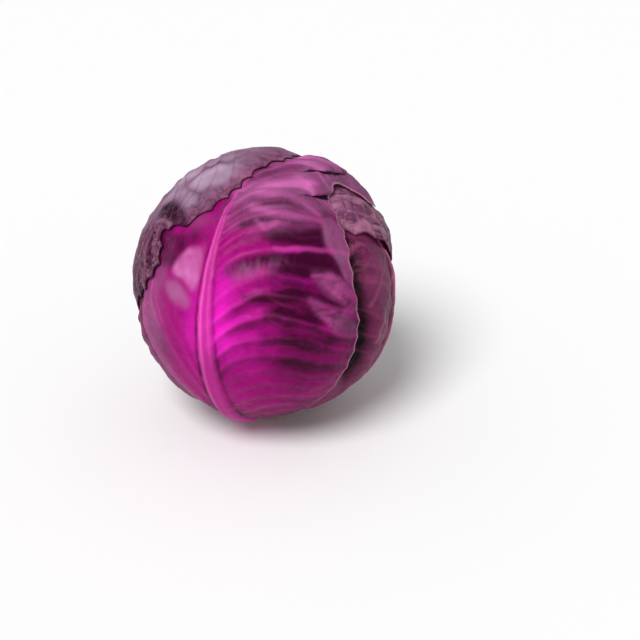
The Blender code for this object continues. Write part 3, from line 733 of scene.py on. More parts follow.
def front_look(v):
    """Bright magenta with painted shadows between its ribs, paler and duller towards the top and on the
    folded margin at the right, with painted highlights and painted shade in places."""
    dirs, places = v.dirs, v.dirs * HEAD_RADIUS
    squeezed = places * (1.0, 1.0, 2.2)
    lat = lon_lat(dirs)[1]
    right = smoothstep((v.across - 3) / 12)
    top = smoothstep((lat - 44) / 14) * smoothstep((v.across + 6) / 10)
    lobe = patch(dirs, *FRONT_LOBE)
    brow = patch(dirs, *FRONT_BROW)
    folds_and_highlights = drawn(dirs, FRONT_FOLDS_AND_HIGHLIGHTS)
    uneven = np.clip(0.9 + 0.5 * noise(places, 0.030, 31), 0.5, 1.3)
    # Painted shadows in the troughs between the ribs
    valley_shadows = np.clip(1.15 * drawn(dirs, FRONT_VALLEY_SHADOWS) * uneven, 0, 1)
    pale_streaks, dark_streaks = (np.clip(sign * 2.4 * v.grain, 0, 1) for sign in (1, -1))

    corner = area(dirs, MARGIN_CORNER)
    flap = np.clip(area(dirs, MARGIN_FOLD) + area(dirs, LOW_MARGIN_FOLD), 0, 1)
    folded = flap * np.clip(0.7 + 0.7 * noise(squeezed, 0.016, 43), 0, 1)
    creased = flap * crests(squeezed, 0.014, 41, 0.2)
    margin = np.clip(corner + folded, 0, 1)

    dark = 0.02 + 0.55 * right * v.valley * uneven * (1 - 0.6 * top) + valley_shadows
    # At the top, darker with its streaks; below the top, painted shade darkening the right side
    dark += top * (0.38 + 1.10 * dark_streaks) + 0.35 * smoothstep((v.across - 18) / 20) * (1 - top)
    # Painted shade in the hollow by the cap's edge, and soft spots, some of them painted shade
    dark += 0.80 * area(dirs, PAINTED_HOLLOW_SHADE, 6.0) + spotted(dirs, FRONT_DARK)

    u, w = degrees_from(dirs, *FRONT_SHEEN)
    sheen = bell(u / SHEEN_SIZE[0]) * bell(w / SHEEN_SIZE[1])
    sheen *= np.clip(0.45 + 1.5 * noise(places * (3.0, 1.0, 0.8), 0.006, 51), 0, 1)
    lilac_sheen = area(dirs, LILAC_SHEEN, 5.0)
    # Bloom, with the painted glint and the painted sheen added on top
    bloom = np.maximum(1.2 * corner, 0.9 * folded) + 0.7 * top + 0.9 * lobe + 0.5 * brow
    bloom = bloom * (1 - 0.75 * valley_shadows * (1 - corner)) + 0.85 * sheen + 0.8 * lilac_sheen

    slant = np.stack([0 * lat, 0.25 * v.across + 0.12 * v.along, 0.02 * v.along], axis=-1)
    fan = area(dirs, PALE_FAN) * np.clip(0.85 + 0.6 * noise(slant, 1.0, 53), 0.3, 1)
    # Pale fan, with painted sheen, and at the top pale streaks and painted highlights on the fold crests
    pale = 1.2 * fan + 0.35 * lilac_sheen + top * (0.6 * pale_streaks + 0.8 * folds_and_highlights)

    strip = bell((v.across - 7) / 4.5) * smoothstep((42 - lat) / 20) * smoothstep((lat + 18) / 22)
    vivid = 0.55 * patch(dirs, *FRONT_GLOW) * (1 - 0.6 * v.valley) + 0.6 * strip
    return {
        "veins": np.where(v.across > 0, 0.24, 0.04) * (1 - 0.8 * margin) + 0.4 * lobe,
        "rib_height": np.where(v.across > 0, 1.15 + 0.3 * top, 0.5),
        # Light lines: painted highlights on the upper fold crests, pale lines on the other creases
        "lines": 0.85 * folds_and_highlights * (1 - 0.6 * top) + 0.25 * creased,
        "wrinkle": 0.2 * top + 0.8 * patch(dirs, *FRONT_DRY),
        "relief": 0.0006 * creased + 0.0007 * folds_and_highlights,
        "crumple": 0.0003 + 0.0004 * margin,
        "dark": dark * (1 - 0.75 * corner) + 0.5 * lobe * v.valley,
        "bloom": bloom + spotted(dirs, FRONT_BLOOM),
        # The brow's painted highlight
        "pale": pale + 0.7 * brow * (0.35 + pale_streaks),
        "vivid": vivid + spotted(dirs, FRONT_VIVID),
    }


# The shrivelled end of the cap leaf, as a soft spot, its ridges, and the plum-coloured area above it
CAP_SHRIVELLED = (-72, 18, 16, 22)
CAP_RIDGES = (
    (((-76, 37), (-68, 41), (-60, 41), (-56, 38), (-60, 35)), 0.8, 0.8),
    (((-70, 38), (-63, 37), (-58, 34)), 0.6, 0.6),
    (((-70, 36), (-64, 30), (-58, 24), (-60, 17)), 0.6, 0.7),
    (((-74, 36), (-69, 29), (-64, 20), (-66, 12)), 0.6, 0.8),
    (((-78, 36), (-75, 27), (-72, 18), (-72, 8)), 0.6, 0.7),
    (((-72, 33), (-72, 24), (-68, 14)), 0.5, 0.6),
)
CAP_PLUM = ((-82, 44), (-78, 49), (-65, 50), (-53, 47), (-51, 44), (-59, 43), (-72, 40), (-82, 40))


def cap_look(v):
    """Dusty with bloom over the crown, with pale facets and a crazed, ragged margin; shrivelled at its
    left end, and with plainer ribs at the back."""
    dirs, places = v.dirs, v.dirs * HEAD_RADIUS
    back = smoothstep((degrees_between(dirs, direction(-40, 50)) - 45) / 30)
    shrivelled = np.clip(1.7 * patch(dirs, *CAP_SHRIVELLED), 0, 1)
    wide, fine = crests(places * (1.0, 1.0, 0.45), 0.010, 63, 0.15), crests(places, 0.005, 67, 0.15)
    ridge = np.maximum(np.maximum(wide, 0.6 * fine) * shrivelled * 0.75, drawn(dirs, CAP_RIDGES))
    facets = noise(places, 0.024, 65, 1) * (1 - 0.7 * back)
    facet_tone = 0.85 * np.clip(1.6 * facets, 0, 1)
    ragged = 1 - smoothstep((v.inside + 0.003 * noise(places, 0.010, 61)) / 0.010)
    border = crests(places, 0.030, 69, 0.22) * (1 - back) + (0.9 - 0.4 * back) * v.crest
    border = np.clip(border, 0, 1) * (1 - shrivelled)
    craze = crests(places, 0.0045, 73, 0.22) * smoothstep((0.020 - v.inside) / 0.016)
    plum = area(dirs, CAP_PLUM, 5.0)
    front_border = border * (1 - back)
    dusty = 1.0 - 0.45 * front_border - 0.35 * ragged - 0.7 * plum - 0.3 * craze
    dark = (0.1 + 0.25 * back) * v.valley + 0.35 * front_border + 0.75 * plum + 0.3 * craze
    return {
        "veins": 0.15 + 0.75 * back,
        "rib_height": 0.9 + 0.5 * back,
        "lines": 0.55 * ridge**1.5,
        "wrinkle": 0.8 * shrivelled + 0.2 * ragged,
        "relief": 0.0008 * ridge + 0.0008 * facets,
        "crumple": 0.0004,
        "edge_lift": 0.0,
        "droop": 0.0008,
        "dark": dark + 0.75 * shrivelled * (1 - 0.4 * ridge),
        "bloom": dusty - shrivelled - 0.45 * back * v.valley,
        "pale": np.prod([1 - x for x in (shrivelled, border, ragged, plum)], axis=0) * facet_tone,
        "vivid": 0.6 * ragged * (1 - shrivelled),
    }


# Where the shoulder leaf is crushed, which way its ridges slant, and the painted shade on its side at the
# limb
SHOULDER_CRUSHED = (76, 40, 28, 24)
SHOULDER_SLANT = (72, 42, 38)
SHOULDER_LIMB_SHADE = (98, 26, 16, 26)


def shoulder_look(v):
    """Crushed into slanting ridges and hollows, darkened by painted shade in the hollows and at the limb,
    where it shows at the upper right.
    """
    crushed = np.clip(1.4 * patch(v.dirs, *SHOULDER_CRUSHED), 0, 1)
    u, w = degrees_from(v.dirs, *SHOULDER_SLANT)
    grain = np.stack([0.22 * u, w, 0.2 * u], axis=-1) * math.radians(1) * HEAD_RADIUS
    ridge = np.maximum(crests(grain, 0.0085, 71, 0.20), 0.6 * crests(grain, 0.0036, 75, 0.20)) * crushed
    hollows = np.clip(0.1 - 1.7 * noise(grain, 0.010, 79), 0, 1) * crushed
    limb = patch(v.dirs, *SHOULDER_LIMB_SHADE)
    return {
        "veins": 0.3,
        "lines": 0.85 * ridge,
        "wrinkle": crushed,
        "relief": 0.0010 * ridge - 0.0005 * hollows,
        "crumple": 0.0005,
        # Painted shade in the hollows between the ridges and on its side at the limb
        "dark": 0.3 * v.valley + 0.65 * hollows + 0.35 * limb,
        "bloom": 0.65 - 0.35 * limb - 0.35 * hollows + 0.2 * noise(v.dirs * HEAD_RADIUS, 0.02, 77),
    }


# Light veins on the right leaf: (lon, lat) points, half width, strength
RIGHT_LINES = (
    (((60, -14), (64, -3), (71, 7), (80, 13), (90, 17)), 0.9, 0.5),
    (((66, -14), (70, -4), (77, 4), (86, 10)), 0.8, 0.4),
    (((56, 6), (64, 16), (76, 22)), 0.8, 0.3),
)
# Its soft spots, the bloom one also a painted soft highlight, and the longitude and half width of the
# painted shade in the hollow
RIGHT_WRINKLED = (54, 33, 7, 12)
RIGHT_BLOOM_AND_HIGHLIGHT = (66, 14, 8, 13)
RIGHT_HOLLOW_SHADE = (49.5, 5.2)


def right_look(v):
    """Darkest in the hollow behind the front leaf's free edge, by painted shade, with a few light veins and
    a painted soft highlight.
    """
    places = v.dirs * HEAD_RADIUS
    lon, lat = lon_lat(v.dirs)
    hollow = bell((lon - RIGHT_HOLLOW_SHADE[0]) / RIGHT_HOLLOW_SHADE[1]) * smoothstep((lat + 45) / 20)
    wrinkled = patch(v.dirs, *RIGHT_WRINKLED)
    ridge = crests(places * (1.0, 1.0, 0.6), 0.006, 81, 0.3) * wrinkled
    lines = drawn(v.dirs, RIGHT_LINES, np.sum)
    return {
        "veins": 0.15,
        "rib_height": 0.7,
        "lines": lines + 0.6 * ridge,
        "wrinkle": 0.5 * wrinkled,
        "relief": 0.0009 * ridge,
        # Painted shade, darkest in the hollow
        "dark": 0.22 + 0.2 * v.valley + 1.1 * hollow + 0.3 * wrinkled,
        # Bloom with a painted soft highlight
        "bloom": 0.5 * patch(v.dirs, *RIGHT_BLOOM_AND_HIGHLIGHT),
    }


LEFT_PALE = (-58, -30, 10, 14)


def left_look(v):
    """Plain, with a paler place low down."""
    return {
        "veins": 0.35,
        "dark": 0.30 + 0.3 * v.valley,
        "bloom": 0.35,
        "pale": 0.25 * patch(v.dirs, *LEFT_PALE),
    }


LOOKS = {
    "right_leaf": right_look,
    "left_leaf": left_look,
    "shoulder_leaf": shoulder_look,
    "front_leaf": front_look,
    "cap_leaf": cap_look,
}


class Value:
    """A number in a node tree, which sums are written with as with any number."""

    def __init__(self, graph, socket):
        self.graph = graph
        self.socket = socket

    def __add__(self, other):
        return self.graph.math("ADD", self, other)

    def __sub__(self, other):
        return self.graph.math("SUBTRACT", self, other)

    def __rsub__(self, other):
        return self.graph.math("SUBTRACT", other, self)

    def __mul__(self, other):
        return self.graph.math("MULTIPLY", self, other)

    def __rtruediv__(self, other):
        return self.graph.math("DIVIDE", other, self)

    def __abs__(self):
        return self.graph.math("ABSOLUTE", self)

    def clamped(self):
        """The same sum, kept from 0 to 1."""
        self.socket.node.use_clamp = True
        return self

    def remap(self, low, high, new_low=0.0, new_high=1.0):
        inputs = {0: self, 1: low, 2: high, 3: new_low, 4: new_high}
        return Value(self.graph, self.graph.add("ShaderNodeMapRange", inputs).outputs[0])


class Graph:
    """A node tree being built: each call adds a node, sets it up and links its inputs."""

    def __init__(self, tree):
        self.tree = tree

    def add(self, kind, inputs=None, **settings):
        node = self.tree.nodes.new(kind)
        for name, value in settings.items():
            setattr(node, name, value)
        self.feed(node, inputs or {})
        return node

    def feed(self, node, inputs):
        for key, value in inputs.items():
            value = value.socket if isinstance(value, Value) else value
            if isinstance(value, bpy.types.NodeSocket):
                self.tree.links.new(value, node.inputs[key])
            else:
                node.inputs[key].default_value = value

    def math(self, operation, a, b=0.0):
        return Value(self, self.add("ShaderNodeMath", {0: a, 1: b}, operation=operation).outputs[0])

    def vector(self, operation, a, b=None, scale=None):
        given = {0: a, 1: b, "Scale": scale}
        inputs = {key: value for key, value in given.items() if value is not None}
        return self.add("ShaderNodeVectorMath", inputs, operation=operation).outputs[0]

    def mottle(self, vector, scale, detail, roughness=0.5):
        inputs = {"Vector": vector, "Scale": scale, "Detail": detail, "Roughness": roughness}
        return Value(self, self.add("ShaderNodeTexNoise", inputs).outputs[0])

    def mix(self, share, a, b):
        """Two colours mixed by a share from 0 to 1."""
        return self.add("ShaderNodeMix", {0: share, 6: a, 7: b}, data_type="RGBA").outputs[2]

    def given(self):
        """The inputs of the tree by their names."""
        return {socket.name: Value(self, socket) for socket in self.add("NodeGroupInput").outputs}

    def finish(self, node, material):
        """Ends a tree of Geometry Nodes in a smooth real mesh with its material."""
        smooth = self.add("GeometryNodeSetShadeSmooth", {"Geometry": node.outputs[0]})
        real = self.add("GeometryNodeRealizeInstances", {"Geometry": smooth.outputs[0]})
        done = self.add("GeometryNodeSetMaterial", {"Geometry": real.outputs[0], "Material": material})
        self.add("NodeGroupOutput", {"Geometry": done.outputs[0]})


def new_tree(name, inputs):
    """A new tree of Geometry Nodes, with the modifier's identifier of each of its named inputs."""
    tree = bpy.data.node_groups.new(name, "GeometryNodeTree")
    tree.interface.new_socket("Geometry", in_out="OUTPUT", socket_type="NodeSocketGeometry")
    tree.interface.new_socket("Geometry", in_out="INPUT", socket_type="NodeSocketGeometry")
    found = {}
    for name, kind, value in (*inputs, ("Material", "Material", None)):
        socket = tree.interface.new_socket(name, in_out="INPUT", socket_type=f"NodeSocket{kind}")
        if value is not None:
            socket.default_value = value
        found[name] = socket.identifier
    return tree, found


def leaf_shell_tree():
    """Wraps a flat leaf on the head by its measures, crumples it, and gives it its thickness."""
    tree, names = new_tree(
        "Leaf shell",
        (
            ("Centre height", "Float", CENTRE_HEIGHT),
            ("Crumple size", "Float", 0.009),
            ("Crumple share", "Float", 1.0),
            ("Seed", "Float", 0.0),
        ),
    )
    g = Graph(tree)
    given = g.given()

    def measure(name, kind="FLOAT"):
        node = g.add("GeometryNodeInputNamedAttribute", {"Name": name}, data_type=kind)
        return Value(g, next(socket for socket in node.outputs if socket.enabled))

    towards = measure("towards", "FLOAT_VECTOR")
    grain = g.vector("SCALE", towards, scale=1.0 / given["Crumple size"] * HEAD_RADIUS)
    rumple = g.add(
        "ShaderNodeTexNoise",
        {"Vector": grain, "W": given["Seed"], "Scale": 1.0, "Detail": 3.0, "Roughness": 0.55},
        noise_dimensions="4D",
    )
    ridge = 0.55 - abs((Value(g, rumple.outputs[0]) - 0.5) * 4.0)
    height = measure("height") + ridge * measure("crumple") * given["Crumple share"]
    centre = g.add("ShaderNodeCombineXYZ", {"Z": given["Centre height"]}).outputs[0]
    place = g.vector("ADD", g.vector("SCALE", towards, scale=height), centre)
    place = g.vector("ADD", place, measure("slide", "FLOAT_VECTOR"))
    wrapped = g.add("GeometryNodeSetPosition", {"Geometry": given["Geometry"], "Position": place})
    shell = g.add(
        "GeometryNodeExtrudeMesh",
        {"Mesh": wrapped.outputs[0], "Offset Scale": measure("thickness"), "Individual": False},
        mode="FACES",
    )
    under = g.add("GeometryNodeFlipFaces", {"Mesh": wrapped.outputs[0]})
    both = g.add("GeometryNodeJoinGeometry")
    tree.links.new(shell.outputs[0], both.inputs[0])
    tree.links.new(under.outputs[0], both.inputs[0])
    closed = g.add("GeometryNodeMergeByDistance", {"Geometry": both.outputs[0], "Distance": 1e-6})
    g.finish(closed, given["Material"])
    return tree, names


def run_tree(obj, tree, names, values):
    """Runs a Geometry Nodes tree on an object and keeps the result as its plain mesh."""
    modifier = obj.modifiers.new(tree.name, "NODES")
    for name, value in values.items():
        modifier[names[name]] = value
    modifier.node_group = tree
    for name, value in values.items():
        modifier[names[name]] = value
    obj.update_tag()
    graph = bpy.context.evaluated_depsgraph_get()
    mesh = bpy.data.meshes.new_from_object(obj.evaluated_get(graph), depsgraph=graph)
    obj.modifiers.remove(modifier)
    obj.data = mesh
    mesh.name = obj.name
    return mesh


def rgb(red, green, blue):
    """A linear colour from 0 to 255 screen values."""
    return tuple((c / 255) ** 2.2 for c in (red, green, blue)) + (1.0,)


# Painted shade: the near-black colour painted deep in the gaps under the pleats
GAP_SHADE_COLOUR = rgb(26, 3, 18)

# The nets of veins, as cells in a metre and a line's width as a share of a cell, and the dry panels
VEIN_NETS = ((115.0, 0.07), (300.0, 0.10))
PANELS = 62.0

# What each leaf has besides its own blade colour: its other colours, its gloss, and how strongly its
# dry flat panels differ. Through the weights, the dark colour also paints shade, the bloom colour also
# paints sheen, and the rib and pale colours also paint highlights
Finish = namedtuple("Finish", "dark rib bloom pale vivid edge gloss panels", defaults=(0.40, 0.0))
LEAF_FINISHES = {
    "front_leaf": Finish(
        rgb(60, 0, 41), rgb(236, 88, 186), rgb(136, 80, 118), rgb(196, 106, 168), rgb(226, 32, 184),
        rgb(208, 136, 168),
    ),
    "cap_leaf": Finish(
        rgb(48, 16, 38), rgb(180, 116, 146), rgb(158, 124, 152), rgb(190, 166, 190), rgb(160, 84, 124),
        rgb(38, 4, 24), gloss=0.45, panels=0.35,
    ),
    "shoulder_leaf": Finish(
        rgb(40, 6, 28), rgb(186, 122, 154), rgb(128, 82, 114), rgb(160, 100, 140), rgb(140, 56, 104),
        rgb(104, 44, 74), gloss=0.42, panels=0.3,
    ),
    "right_leaf": Finish(
        rgb(20, 1, 12), rgb(186, 96, 138), rgb(134, 82, 112), rgb(160, 94, 132), rgb(150, 56, 108),
        rgb(150, 84, 118),
    ),
    "left_leaf": Finish(
        rgb(56, 6, 40), rgb(176, 86, 138), rgb(126, 72, 104), rgb(164, 90, 136), rgb(150, 36, 114),
        rgb(170, 110, 142),
    ),
}


def new_material(name):
    """A new material with its graph, its shader and its Object coordinates."""
    material = bpy.data.materials.new(name)
    material.use_nodes = True
    g = Graph(material.node_tree)
    places = g.add("ShaderNodeTexCoord").outputs["Object"]
    return material, g, material.node_tree.nodes["Principled BSDF"], places


def leaf_material(name, blade, finish):
    """A waxy leaf: dark between its ribs and pale on them, with bloom, a fine net of veins, winding
    wrinkles and an edge of another colour. Its weights also paint shade, sheen and highlights, and
    near-black shade in the gaps under pleats."""
    material, g, shader, places = new_material(name)

    def weight(name):
        return Value(g, g.add("ShaderNodeAttribute", attribute_name=name).outputs["Fac"])

    warp = g.add("ShaderNodeTexNoise", {"Vector": places, "Scale": 130.0, "Detail": 2.0})
    warped = g.vector("ADD", places, g.vector("SCALE", warp.outputs["Color"], scale=0.005))
    nets = []
    for scale, width in VEIN_NETS:
        inputs = {"Vector": warped, "Scale": scale}
        net = g.add("ShaderNodeTexVoronoi", inputs, feature="DISTANCE_TO_EDGE")
        nets.append(Value(g, net.outputs[0]).remap(0.0, width, 1.0, 0.0))
    coarse_net, fine_net = nets
    fine = g.mottle(places, 260.0, 3.0, 0.55)
    along_ribs = g.add("ShaderNodeCombineXYZ", {0: weight("across") * 0.04, 1: weight("number")})
    dark, bloom = weight("dark"), weight("bloom")

    # The share of the dark colour: the leaves' own darker tones and painted shade
    depth = dark + g.mottle(places, 45.0, 4.0, 0.55).remap(0.3, 0.7, -0.20, 0.20)
    depth = depth + g.mottle(along_ribs.outputs[0], 1.7, 3.0, 0.6).remap(0.3, 0.7, -0.13, 0.13)
    depth = (depth + fine.remap(0.3, 0.7, -0.07, 0.07)).clamped()
    colour = g.mix(weight("vivid"), blade, finish.vivid)
    colour = g.mix(coarse_net * 0.03 + fine_net * 0.02, colour, finish.rib)
    colour = g.mix(depth, colour, finish.dark)

    # Bloom, mixed with the painted sheen that the weight carries on some leaves
    powder_and_sheen = (bloom * g.mottle(places, 70.0, 5.0, 0.7).remap(0.35, 0.65, 0.45, 1.0)).clamped()
    if finish.panels:
        inputs = {"Vector": warped, "Scale": PANELS, "Smoothness": 0.22}
        cells = g.add("ShaderNodeTexVoronoi", inputs, feature="SMOOTH_F1")
        tone = g.add("ShaderNodeSeparateColor", {0: cells.outputs["Color"]}).outputs[0]
        powder_and_sheen = (powder_and_sheen * Value(g, tone).remap(0.25, 0.75, 1.0 - finish.panels, 1.0)).clamped()
    colour = g.mix(powder_and_sheen, colour, finish.bloom)
    paleness = weight("pale") * g.mottle(places, 90.0, 4.0, 0.55).remap(0.3, 0.6, 0.5, 1.0)
    colour = g.mix(paleness.clamped(), colour, finish.pale)

    drawn_down = g.vector("MULTIPLY", warped, (1.0, 1.0, 0.4))
    winding = abs(g.mottle(drawn_down, 120.0, 3.0) - 0.5)
    wrinkles = winding.remap(0.0, 0.028, 1.0, 0.0) * weight("wrinkle")
    # Pale veins and lines, part of them painted highlights
    colour = g.mix(weight("vein") * 0.85, colour, finish.rib)
    colour = g.mix(wrinkles * 0.45, colour, finish.rib)
    # Painted shade: dark weights above 1 turn the gaps under the pleats near-black
    colour = g.mix(dark.remap(1.0, 1.7, 0.0, 0.9), colour, GAP_SHADE_COLOUR)
    colour = g.mix(weight("edge") * 0.8, colour, finish.edge)

    relief = coarse_net * 0.5 + fine_net * 0.25 + g.mottle(places, 520.0, 3.0, 0.55) * 0.5 + wrinkles * 1.5
    bump = g.add("ShaderNodeBump", {"Height": relief, "Strength": 0.3, "Distance": 0.0003})
    g.feed(shader, {
        "Base Color": colour,
        "Roughness": fine.remap(0.3, 0.7, finish.gloss - 0.05, finish.gloss + 0.08) + bloom * 0.18,
        "Specular IOR Level": 0.06,
        "Coat Weight": 0.02,
        "Coat Roughness": 0.25,
        "Normal": bump.outputs[0],
    })
    return material


def length_property(name, description, default, low, high):
    return FloatProperty(
        name=name, description=description, default=default, min=low, max=high,
        subtype="DISTANCE", unit="LENGTH",
    )


def colour_property(name, description, default):
    return FloatVectorProperty(
        name=name, description=description, default=default[:3], min=0.0, max=1.0, size=3, subtype="COLOR"
    )


class CabbageSizes(bpy.types.PropertyGroup):
    mesh_step: length_property(
        "Mesh step", "Spacing of the points that leaves are drawn with", 0.00105, 0.0008, 0.004
    )
    edge_thickness: length_property(
        "Edge thickness", "Thickness of a leaf at its margin", 0.0007, 0.0004, 0.0015
    )
    crumple_size: length_property(
        "Crumple size", "How far apart the crumples of dry leaves are", 0.009, 0.003, 0.03
    )
    crumple_share: FloatProperty(
        name="Crumple share", description="Height of the crumples, as a share of each leaf's own",
        default=1.0, min=0.0, max=1.5, subtype="FACTOR",
    )


class CabbageColours(bpy.types.PropertyGroup):
    front_leaf: colour_property("Front leaf", "Blade of the leaf with the bright midrib", rgb(150, 6, 108))
    cap_leaf: colour_property("Cap leaf", "Blade of the leaf over the crown", rgb(116, 62, 98))
    shoulder_leaf: colour_property("Shoulder leaf", "Blade of the crumpled leaf", rgb(110, 44, 82))
    right_leaf: colour_property("Right leaf", "Blade of the leaf behind the free edge", rgb(130, 48, 94))
    left_leaf: colour_property("Left leaf", "Blade of the leaf at the lower left", rgb(132, 38, 96))
    stem: colour_property("Stem", "Flesh of the cut stem", rgb(222, 204, 166))
    floor: colour_property("Floor", "Paper that the head stands on", (0.96, 0.96, 0.96))


def add_object(name, data):
    obj = bpy.data.objects.new(name, data)
    bpy.context.scene.collection.objects.link(obj)
    return obj


class CABBAGE_OT_leaves(bpy.types.Operator):
    """Make the five wrapper leaves, from the innermost to the one over the crown"""

    bl_idname = "cabbage.leaves"
    bl_label = "Wrapper leaves"

    def execute(self, context):
        scene = context.scene
        tree, names = leaf_shell_tree()
        for seed, leaf in enumerate(LEAVES):
            blade = (*getattr(scene.cabbage_colours, leaf.name), 1.0)
            make_leaf(leaf, scene.cabbage_sizes, blade, tree, names, seed)
        return {"FINISHED"}


def make_leaf(leaf, sizes, blade, tree, names, seed):
    flat, triangles = leaf_sheet(leaf, sizes.mesh_step)
    measures = leaf_measures(leaf, flat, sizes)
    mesh = bpy.data.meshes.new(leaf.name)
    mesh.from_pydata([(x, y, 0.0) for x, y in flat], [], triangles)
    for name, values in measures.items():
        kind, field = ("FLOAT_VECTOR", "vector") if values.ndim == 2 else ("FLOAT", "value")
        attribute = mesh.attributes.new(name, kind, "POINT")
        attribute.data.foreach_set(field, values.astype(np.float32).ravel())
    piece = add_object(f"{leaf.name}_blade", mesh)
    inputs = {
        "Centre height": CENTRE_HEIGHT,
        "Crumple size": sizes.crumple_size,
        "Crumple share": sizes.crumple_share,
        "Seed": float(seed),
        "Material": leaf_material(f"{leaf.name}_wax", blade, LEAF_FINISHES[leaf.name]),
    }
    run_tree(piece, tree, names, inputs)
    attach(piece, "root")
    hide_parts(leaf.name)


# The stem in metres, as in the solids, and the dried cut face on which the head stands
STEM_OUTLINE = (
    (0.0152, 0.0), (0.0178, 0.0016), (0.0178, 0.0050), (0.0150, 0.0170), (0.0138, 0.0260),
    (0.0120, 0.0450), (0.0088, 0.0700), (0.0048, 0.0900), (0.0006, 0.0978),
)
CUT_RECESS = 0.0012
CUT_REACH = 0.0135
STEM_ROUND = 160
BUNDLE_RING = 0.0105
BUNDLES = 30
FIBRE_COLOUR = rgb(178, 146, 102)
BUNDLE_COLOUR = rgb(150, 132, 84)
DRIED_COLOUR = rgb(124, 84, 50)
BLUSH_COLOUR = rgb(196, 120, 160)


def stem_sheet():
    """Points and faces of the stem: rings of points from the middle of the cut face over its rim and up
    the core, closed at both ends."""
    face = [(r, CUT_RECESS * (1 - (r / CUT_REACH) ** 4)) for r in np.linspace(0.0002, CUT_REACH, 14)]
    profile = np.array([*face, *STEM_OUTLINE])
    rows = evenly(profile, 0.0008)
    around = np.linspace(0, 2 * math.pi, STEM_ROUND, endpoint=False)
    radius, height = (np.repeat(column[:, None], STEM_ROUND, axis=1) for column in rows.T)
    points = np.stack([radius * np.sin(around), -radius * np.cos(around), height], axis=-1).reshape(-1, 3)
    faces = []
    for row in range(len(rows) - 1):
        for i in range(STEM_ROUND):
            a, b = row * STEM_ROUND + i, row * STEM_ROUND + (i + 1) % STEM_ROUND
            faces.append((a, b, b + STEM_ROUND, a + STEM_ROUND))
    last = (len(rows) - 1) * STEM_ROUND
    faces.append(tuple(range(STEM_ROUND - 1, -1, -1)))
    faces.append(tuple(range(last, last + STEM_ROUND)))
    return points, faces


def stem_tree():
    """Roughens the stem along its fibres and sets a ring of cut bundles in its face."""
    tree, names = new_tree(
        "Cut stem",
        (
            ("Fibre depth", "Float", 0.0003),
            ("Bundles", "Int", BUNDLES),
            ("Bundle radius", "Float", 0.0006),
            ("Ring radius", "Float", BUNDLE_RING),
            ("Seed", "Int", 0),
        ),
    )
    g = Graph(tree)
    given = g.given()
    stretched = g.vector("MULTIPLY", g.add("GeometryNodeInputPosition").outputs[0], (900.0, 900.0, 90.0))
    inward = (g.mottle(stretched, 1.0, 3.0) - 0.75) * given["Fibre depth"]
    push = g.vector("SCALE", g.add("GeometryNodeInputNormal").outputs[0], scale=inward)
    rough = g.add("GeometryNodeSetPosition", {"Geometry": given["Geometry"], "Offset": push})
    ring = g.add("GeometryNodeMeshCircle", {"Vertices": given["Bundles"], "Radius": given["Ring radius"]})
    jitter = g.add(
        "FunctionNodeRandomValue",
        {0: (-0.0007, -0.0007, 0.0), 1: (0.0007, 0.0007, 0.0), "Seed": given["Seed"]},
        data_type="FLOAT_VECTOR",
    )
    lowered = g.vector("ADD", jitter.outputs[0], (0.0, 0.0, 0.6 * CUT_RECESS))
    spots = g.add("GeometryNodeSetPosition", {"Geometry": ring.outputs[0], "Offset": lowered})
    bead = g.add("GeometryNodeMeshIcoSphere", {"Radius": given["Bundle radius"], "Subdivisions": 3})
    size = g.add("FunctionNodeRandomValue", {2: 0.6, 3: 1.2, "Seed": given["Seed"]}, data_type="FLOAT")
    flat = g.add("ShaderNodeCombineXYZ", {0: size.outputs[1], 1: size.outputs[1], 2: 0.7})
    placed = g.add(
        "GeometryNodeInstanceOnPoints",
        {"Points": spots.outputs[0], "Instance": bead.outputs[0], "Scale": flat.outputs[0]},
    )
    both = g.add("GeometryNodeJoinGeometry")
    tree.links.new(placed.outputs[0], both.inputs[0])
    tree.links.new(rough.outputs[0], both.inputs[0])
    g.finish(both, given["Material"])
    return tree, names


def stem_material(flesh):
    """Pale flesh, drier and browner at the cut face and its rim, with darker bundles and fibres."""
    material, g, shader, places = new_material("stem_flesh")
    x, y, z = (Value(g, socket) for socket in g.add("ShaderNodeSeparateXYZ", {0: places}).outputs)
    reach = g.math("SQRT", x * x + y * y)
    grain = g.mottle(g.vector("MULTIPLY", places, (700.0, 700.0, 60.0)), 1.0, 5.0)
    blotches = g.mottle(places, 260.0, 4.0)
    low = z.remap(0.0040, 0.0010)
    ring = abs(reach - BUNDLE_RING).remap(0.0012, 0.0) * low
    dry = (reach.remap(0.0110, 0.0150) * low * blotches.remap(0.3, 0.6, 0.4, 1.0)).clamped()
    colour = g.mix(grain.remap(0.35, 0.65, 0.0, 0.45), flesh, FIBRE_COLOUR)
    colour = g.mix(ring * 0.35, colour, BUNDLE_COLOUR)
    colour = g.mix(dry, colour, DRIED_COLOUR)
    colour = g.mix(z.remap(0.0030, 0.0120, 0.0, 0.5), colour, BLUSH_COLOUR)
    bump = g.add("ShaderNodeBump", {"Height": grain, "Strength": 0.5, "Distance": 0.0002})
    roughness = blotches.remap(0.3, 0.7, 0.5, 0.7)
    g.feed(shader, {"Base Color": colour, "Roughness": roughness, "Normal": bump.outputs[0]})
    return material


class CABBAGE_OT_stem(bpy.types.Operator):
    """Make the cut stem with its fibres, dried rim and ring of bundles"""

    bl_idname = "cabbage.stem"
    bl_label = "Stem"

    def execute(self, context):
        points, faces = stem_sheet()
        mesh = bpy.data.meshes.new("stem")
        mesh.from_pydata(points.tolist(), [], faces)
        piece = add_object("stem_cut", mesh)
        material = stem_material((*context.scene.cabbage_colours.stem, 1.0))
        tree, names = stem_tree()
        run_tree(piece, tree, names, {"Bundles": BUNDLES, "Seed": 3, "Material": material})
        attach(piece, "root")
        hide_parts("stem")
        return {"FINISHED"}


